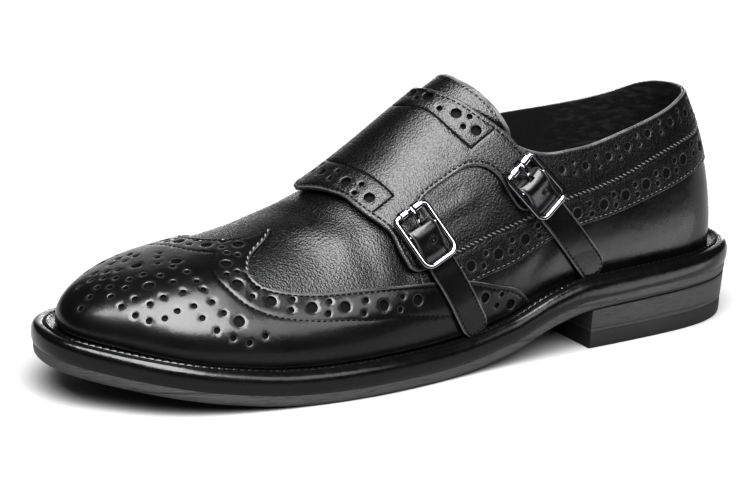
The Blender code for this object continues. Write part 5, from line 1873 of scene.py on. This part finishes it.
# ---------------- all the stitching
class SHOE_OT_stitching(Operator):
    """Every visible row of stitches, joined by thread colour"""
    bl_idname = "shoe.stitching"
    bl_label = "Stitching"

    def execute(self, context):
        dark = Stitches("stitches_dark", "waxed_thread", "smooth_leather")
        pale = Stitches("stitches_pale", "pale_thread", "smooth_leather")
        quarter, wing, flap = QUARTER_LAYER[1], WING_LAYER[1], FLAP_LAYER[1]

        # the wing's upper edge: dark along the wings, pale where it climbs to the peak, as a
        # painted highlight on the thread there
        for line in WING_EDGES:
            dark.row(beside(seam(line), STITCH_INSET), wing, "edge")
        pale.row(beside(seam(PEAK_OUTER), PEAK_INSET), wing, "peak", PEAK_SLANT)
        for line in CAP_LINES:
            dark.row(seam(line), wing, "cap")
        # flap: edges, bands and the cut between the straps
        for line in FLAP_EDGES:
            dark.row(beside(seam(line), STITCH_INSET), flap, "edge")
        for line in FLAP_BANDS:
            dark.row(seam(line), flap, "band")
        # quarter: slanting pale stitches on the seam, finer rows beside it
        for turn, way in ((list, -1), (mirrored, 1)):
            line = seam(turn(LINE_1))
            pale.row(line, quarter, "seam", way * SEAM_SLANT)
            dark.row(beside(line, way * BESIDE_INSET), quarter, "beside")
            pale.row(beside(seam(turn(LINE_2)), way * FINE_INSET), quarter, "fine")
        self.collar(dark)
        self.tabs(dark)
        self.tongue(dark)
        self.welt(dark)
        dark.make()
        pale.make()
        return {"FINISHED"}

    def collar(self, dark):
        to_x, inset = COLLAR_STITCHES
        for side in (1.0, -1.0):
            xs = np.linspace(0, to_x, 160)
            dark.row(PATTERN.flat(xs, below_collar(xs, side, inset)), QUARTER_LAYER[1], "rim")

    def tabs(self, dark):
        """Down one edge of each tab, round its end and up the other edge."""
        tree = outer_side_tree()
        for spec in BUCKLES.values():
            axes, length, middle, half = tab_shape(spec)
            path, ups = [], []
            us = np.arange(9.0, length - STITCH_INSET, 0.5)
            for sign, order in ((-1, us), (1, us[::-1])):
                for u in order:
                    s = middle(u) + sign * max(0.4, half(u) - TAB_STITCH_INSET)
                    place, normal = drape(tree, axes, u, s)
                    top = tab_low(u, spec) + TAB_THICK - STITCHES["tab"][3]
                    path.append(place + normal * top)
                    ups.append(normal)
            dark.along(np.array(path), np.array(ups), *stitch("tab"))

    def tongue(self, dark):
        w = np.linspace(-TONGUE_STITCH_W, TONGUE_STITCH_W, 120)
        x = tongue_top(w) + TONGUE_STITCH_INSET
        height = tongue_height(x, w)
        base = lay(x, w, height)
        dark.along(base, lay(x, w, height + 1.0) - base, *stitch("rim"))

    def welt(self, dark):
        line, out, _ = feather_ring(THREAD_COUNT)
        spot = line + out * WELT_THREAD_OUT
        z = UNDERSIDE_Z(spot[:, 0] + HALF_LENGTH) + WELT_THREAD_UP
        ups = np.column_stack([out * WELT_THREAD_LEAN, np.full(len(out), 1.0)])
        dark.along(np.column_stack([spot, z]), ups, WELT_PITCH, WELT_THREAD_LENGTH,
                   sizes().thread / MM * WELT_THREAD_THICK, WELT_THREAD_SLANT)


# ---------------- stage
def sheet(name, cloth, size, cuts):
    """A flat square in the plane of the floor."""
    made = start(bpy.ops.mesh.primitive_grid_add, name, size=size, x_subdivisions=cuts,
                 y_subdivisions=cuts)
    return coat(made, cloth)


class SHOE_OT_stage(Operator):
    """Pale floor, soft studio light and the camera"""
    bl_idname = "shoe.stage"
    bl_label = "Stage"

    def execute(self, context):
        floor = sheet("paper_floor", "studio_paper", 9.0, 8)
        for name, cloth, (wide, x), (deep, y) in CARDS:
            card = sheet(name, cloth, 1.0, 4)
            for vertex in card.data.vertices:
                vertex.co = (vertex.co.x * wide + x, vertex.co.y * deep + y, 0.0005)
            card.visible_camera = card.visible_diffuse = card.visible_shadow = False
        scene = context.scene
        scene.view_settings.view_transform = "Standard"
        scene.view_settings.gamma = VIEW_GAMMA
        world = bpy.data.worlds.new("studio_air")
        world.use_nodes = True
        feed(world.node_tree.nodes["Background"],
             {"Color": (1, 1, 1, 1), "Strength": AIR_STRENGTH})
        scene.world = world
        for name, place, aim, size, power in SOFTBOXES:
            bpy.ops.object.light_add(type="AREA", location=[c * MM for c in place])
            light = bpy.context.active_object
            light.name = light.data.name = name
            light.data.shape = "RECTANGLE"
            light.data.size, light.data.size_y = size[0] * MM, size[1] * MM
            light.data.energy = power
            way = Vector([b - a for a, b in zip(place, aim)])
            light.rotation_euler = way.to_track_quat("-Z", "Y").to_euler()
        self.camera(scene)
        return {"FINISHED"}

    def camera(self, scene):
        azimuth, rise, roll = (math.radians(a) for a in CAMERA_TURN)
        back = Vector((math.sin(azimuth) * math.cos(rise), -math.cos(azimuth) * math.cos(rise),
                       math.sin(rise)))
        right = (-back).cross(Vector((0, 0, 1))).normalized()
        up = right.cross(-back).normalized()
        turned_right = right * math.cos(roll) + up * math.sin(roll)
        turned_up = -right * math.sin(roll) + up * math.cos(roll)
        place = Vector(CAMERA_AIM) * MM + back * CAMERA_DISTANCE * MM
        bpy.ops.object.camera_add(location=place)
        camera = bpy.context.active_object
        camera.name = camera.data.name = "studio_camera"
        camera.rotation_mode = "QUATERNION"
        axes = Matrix((turned_right, turned_up, back)).transposed()
        camera.rotation_quaternion = axes.to_quaternion()
        camera.data.lens = CAMERA_LENS
        camera.data.sensor_width = 36.0
        camera.data.clip_start, camera.data.clip_end = 0.01, 50.0
        scene.camera = camera


# ---------------- the add-on
class SHOE_PT_maker(Panel):
    """Sizes, colours and the steps that make the shoe"""
    bl_label = "Monk-strap shoe"
    bl_idname = "SHOE_PT_maker"
    bl_space_type = "VIEW_3D"
    bl_region_type = "UI"
    bl_category = "Shoe"

    def draw(self, context):
        for group in (context.scene.shoe_sizes, context.scene.shoe_colours):
            box = self.layout.box()
            for name in group.bl_rna.properties.keys():
                if name not in ("rna_type", "name"):
                    box.prop(group, name)
        for step in STEPS:
            self.layout.operator(step.bl_idname)


STEPS = (SHOE_OT_upper, SHOE_OT_quarter, SHOE_OT_wingtip, SHOE_OT_flap, SHOE_OT_tongue,
         SHOE_OT_tabs, SHOE_OT_buckles, SHOE_OT_bottom, SHOE_OT_stitching, SHOE_OT_stage)
CLASSES = (ShoeSizes, ShoeColours, *STEPS, SHOE_PT_maker)


def register():
    for cls in CLASSES:
        bpy.utils.register_class(cls)
    bpy.types.Scene.shoe_sizes = PointerProperty(type=ShoeSizes)
    bpy.types.Scene.shoe_colours = PointerProperty(type=ShoeColours)


def unregister():
    del bpy.types.Scene.shoe_colours
    del bpy.types.Scene.shoe_sizes
    for cls in reversed(CLASSES):
        bpy.utils.unregister_class(cls)


def main():
    register()
    for step in (bpy.ops.shoe.upper, bpy.ops.shoe.quarter, bpy.ops.shoe.wingtip,
                 bpy.ops.shoe.flap, bpy.ops.shoe.tongue, bpy.ops.shoe.tabs,
                 bpy.ops.shoe.buckles, bpy.ops.shoe.bottom, bpy.ops.shoe.stitching,
                 bpy.ops.shoe.stage):
        step()


if __name__ == "__main__":
    main()
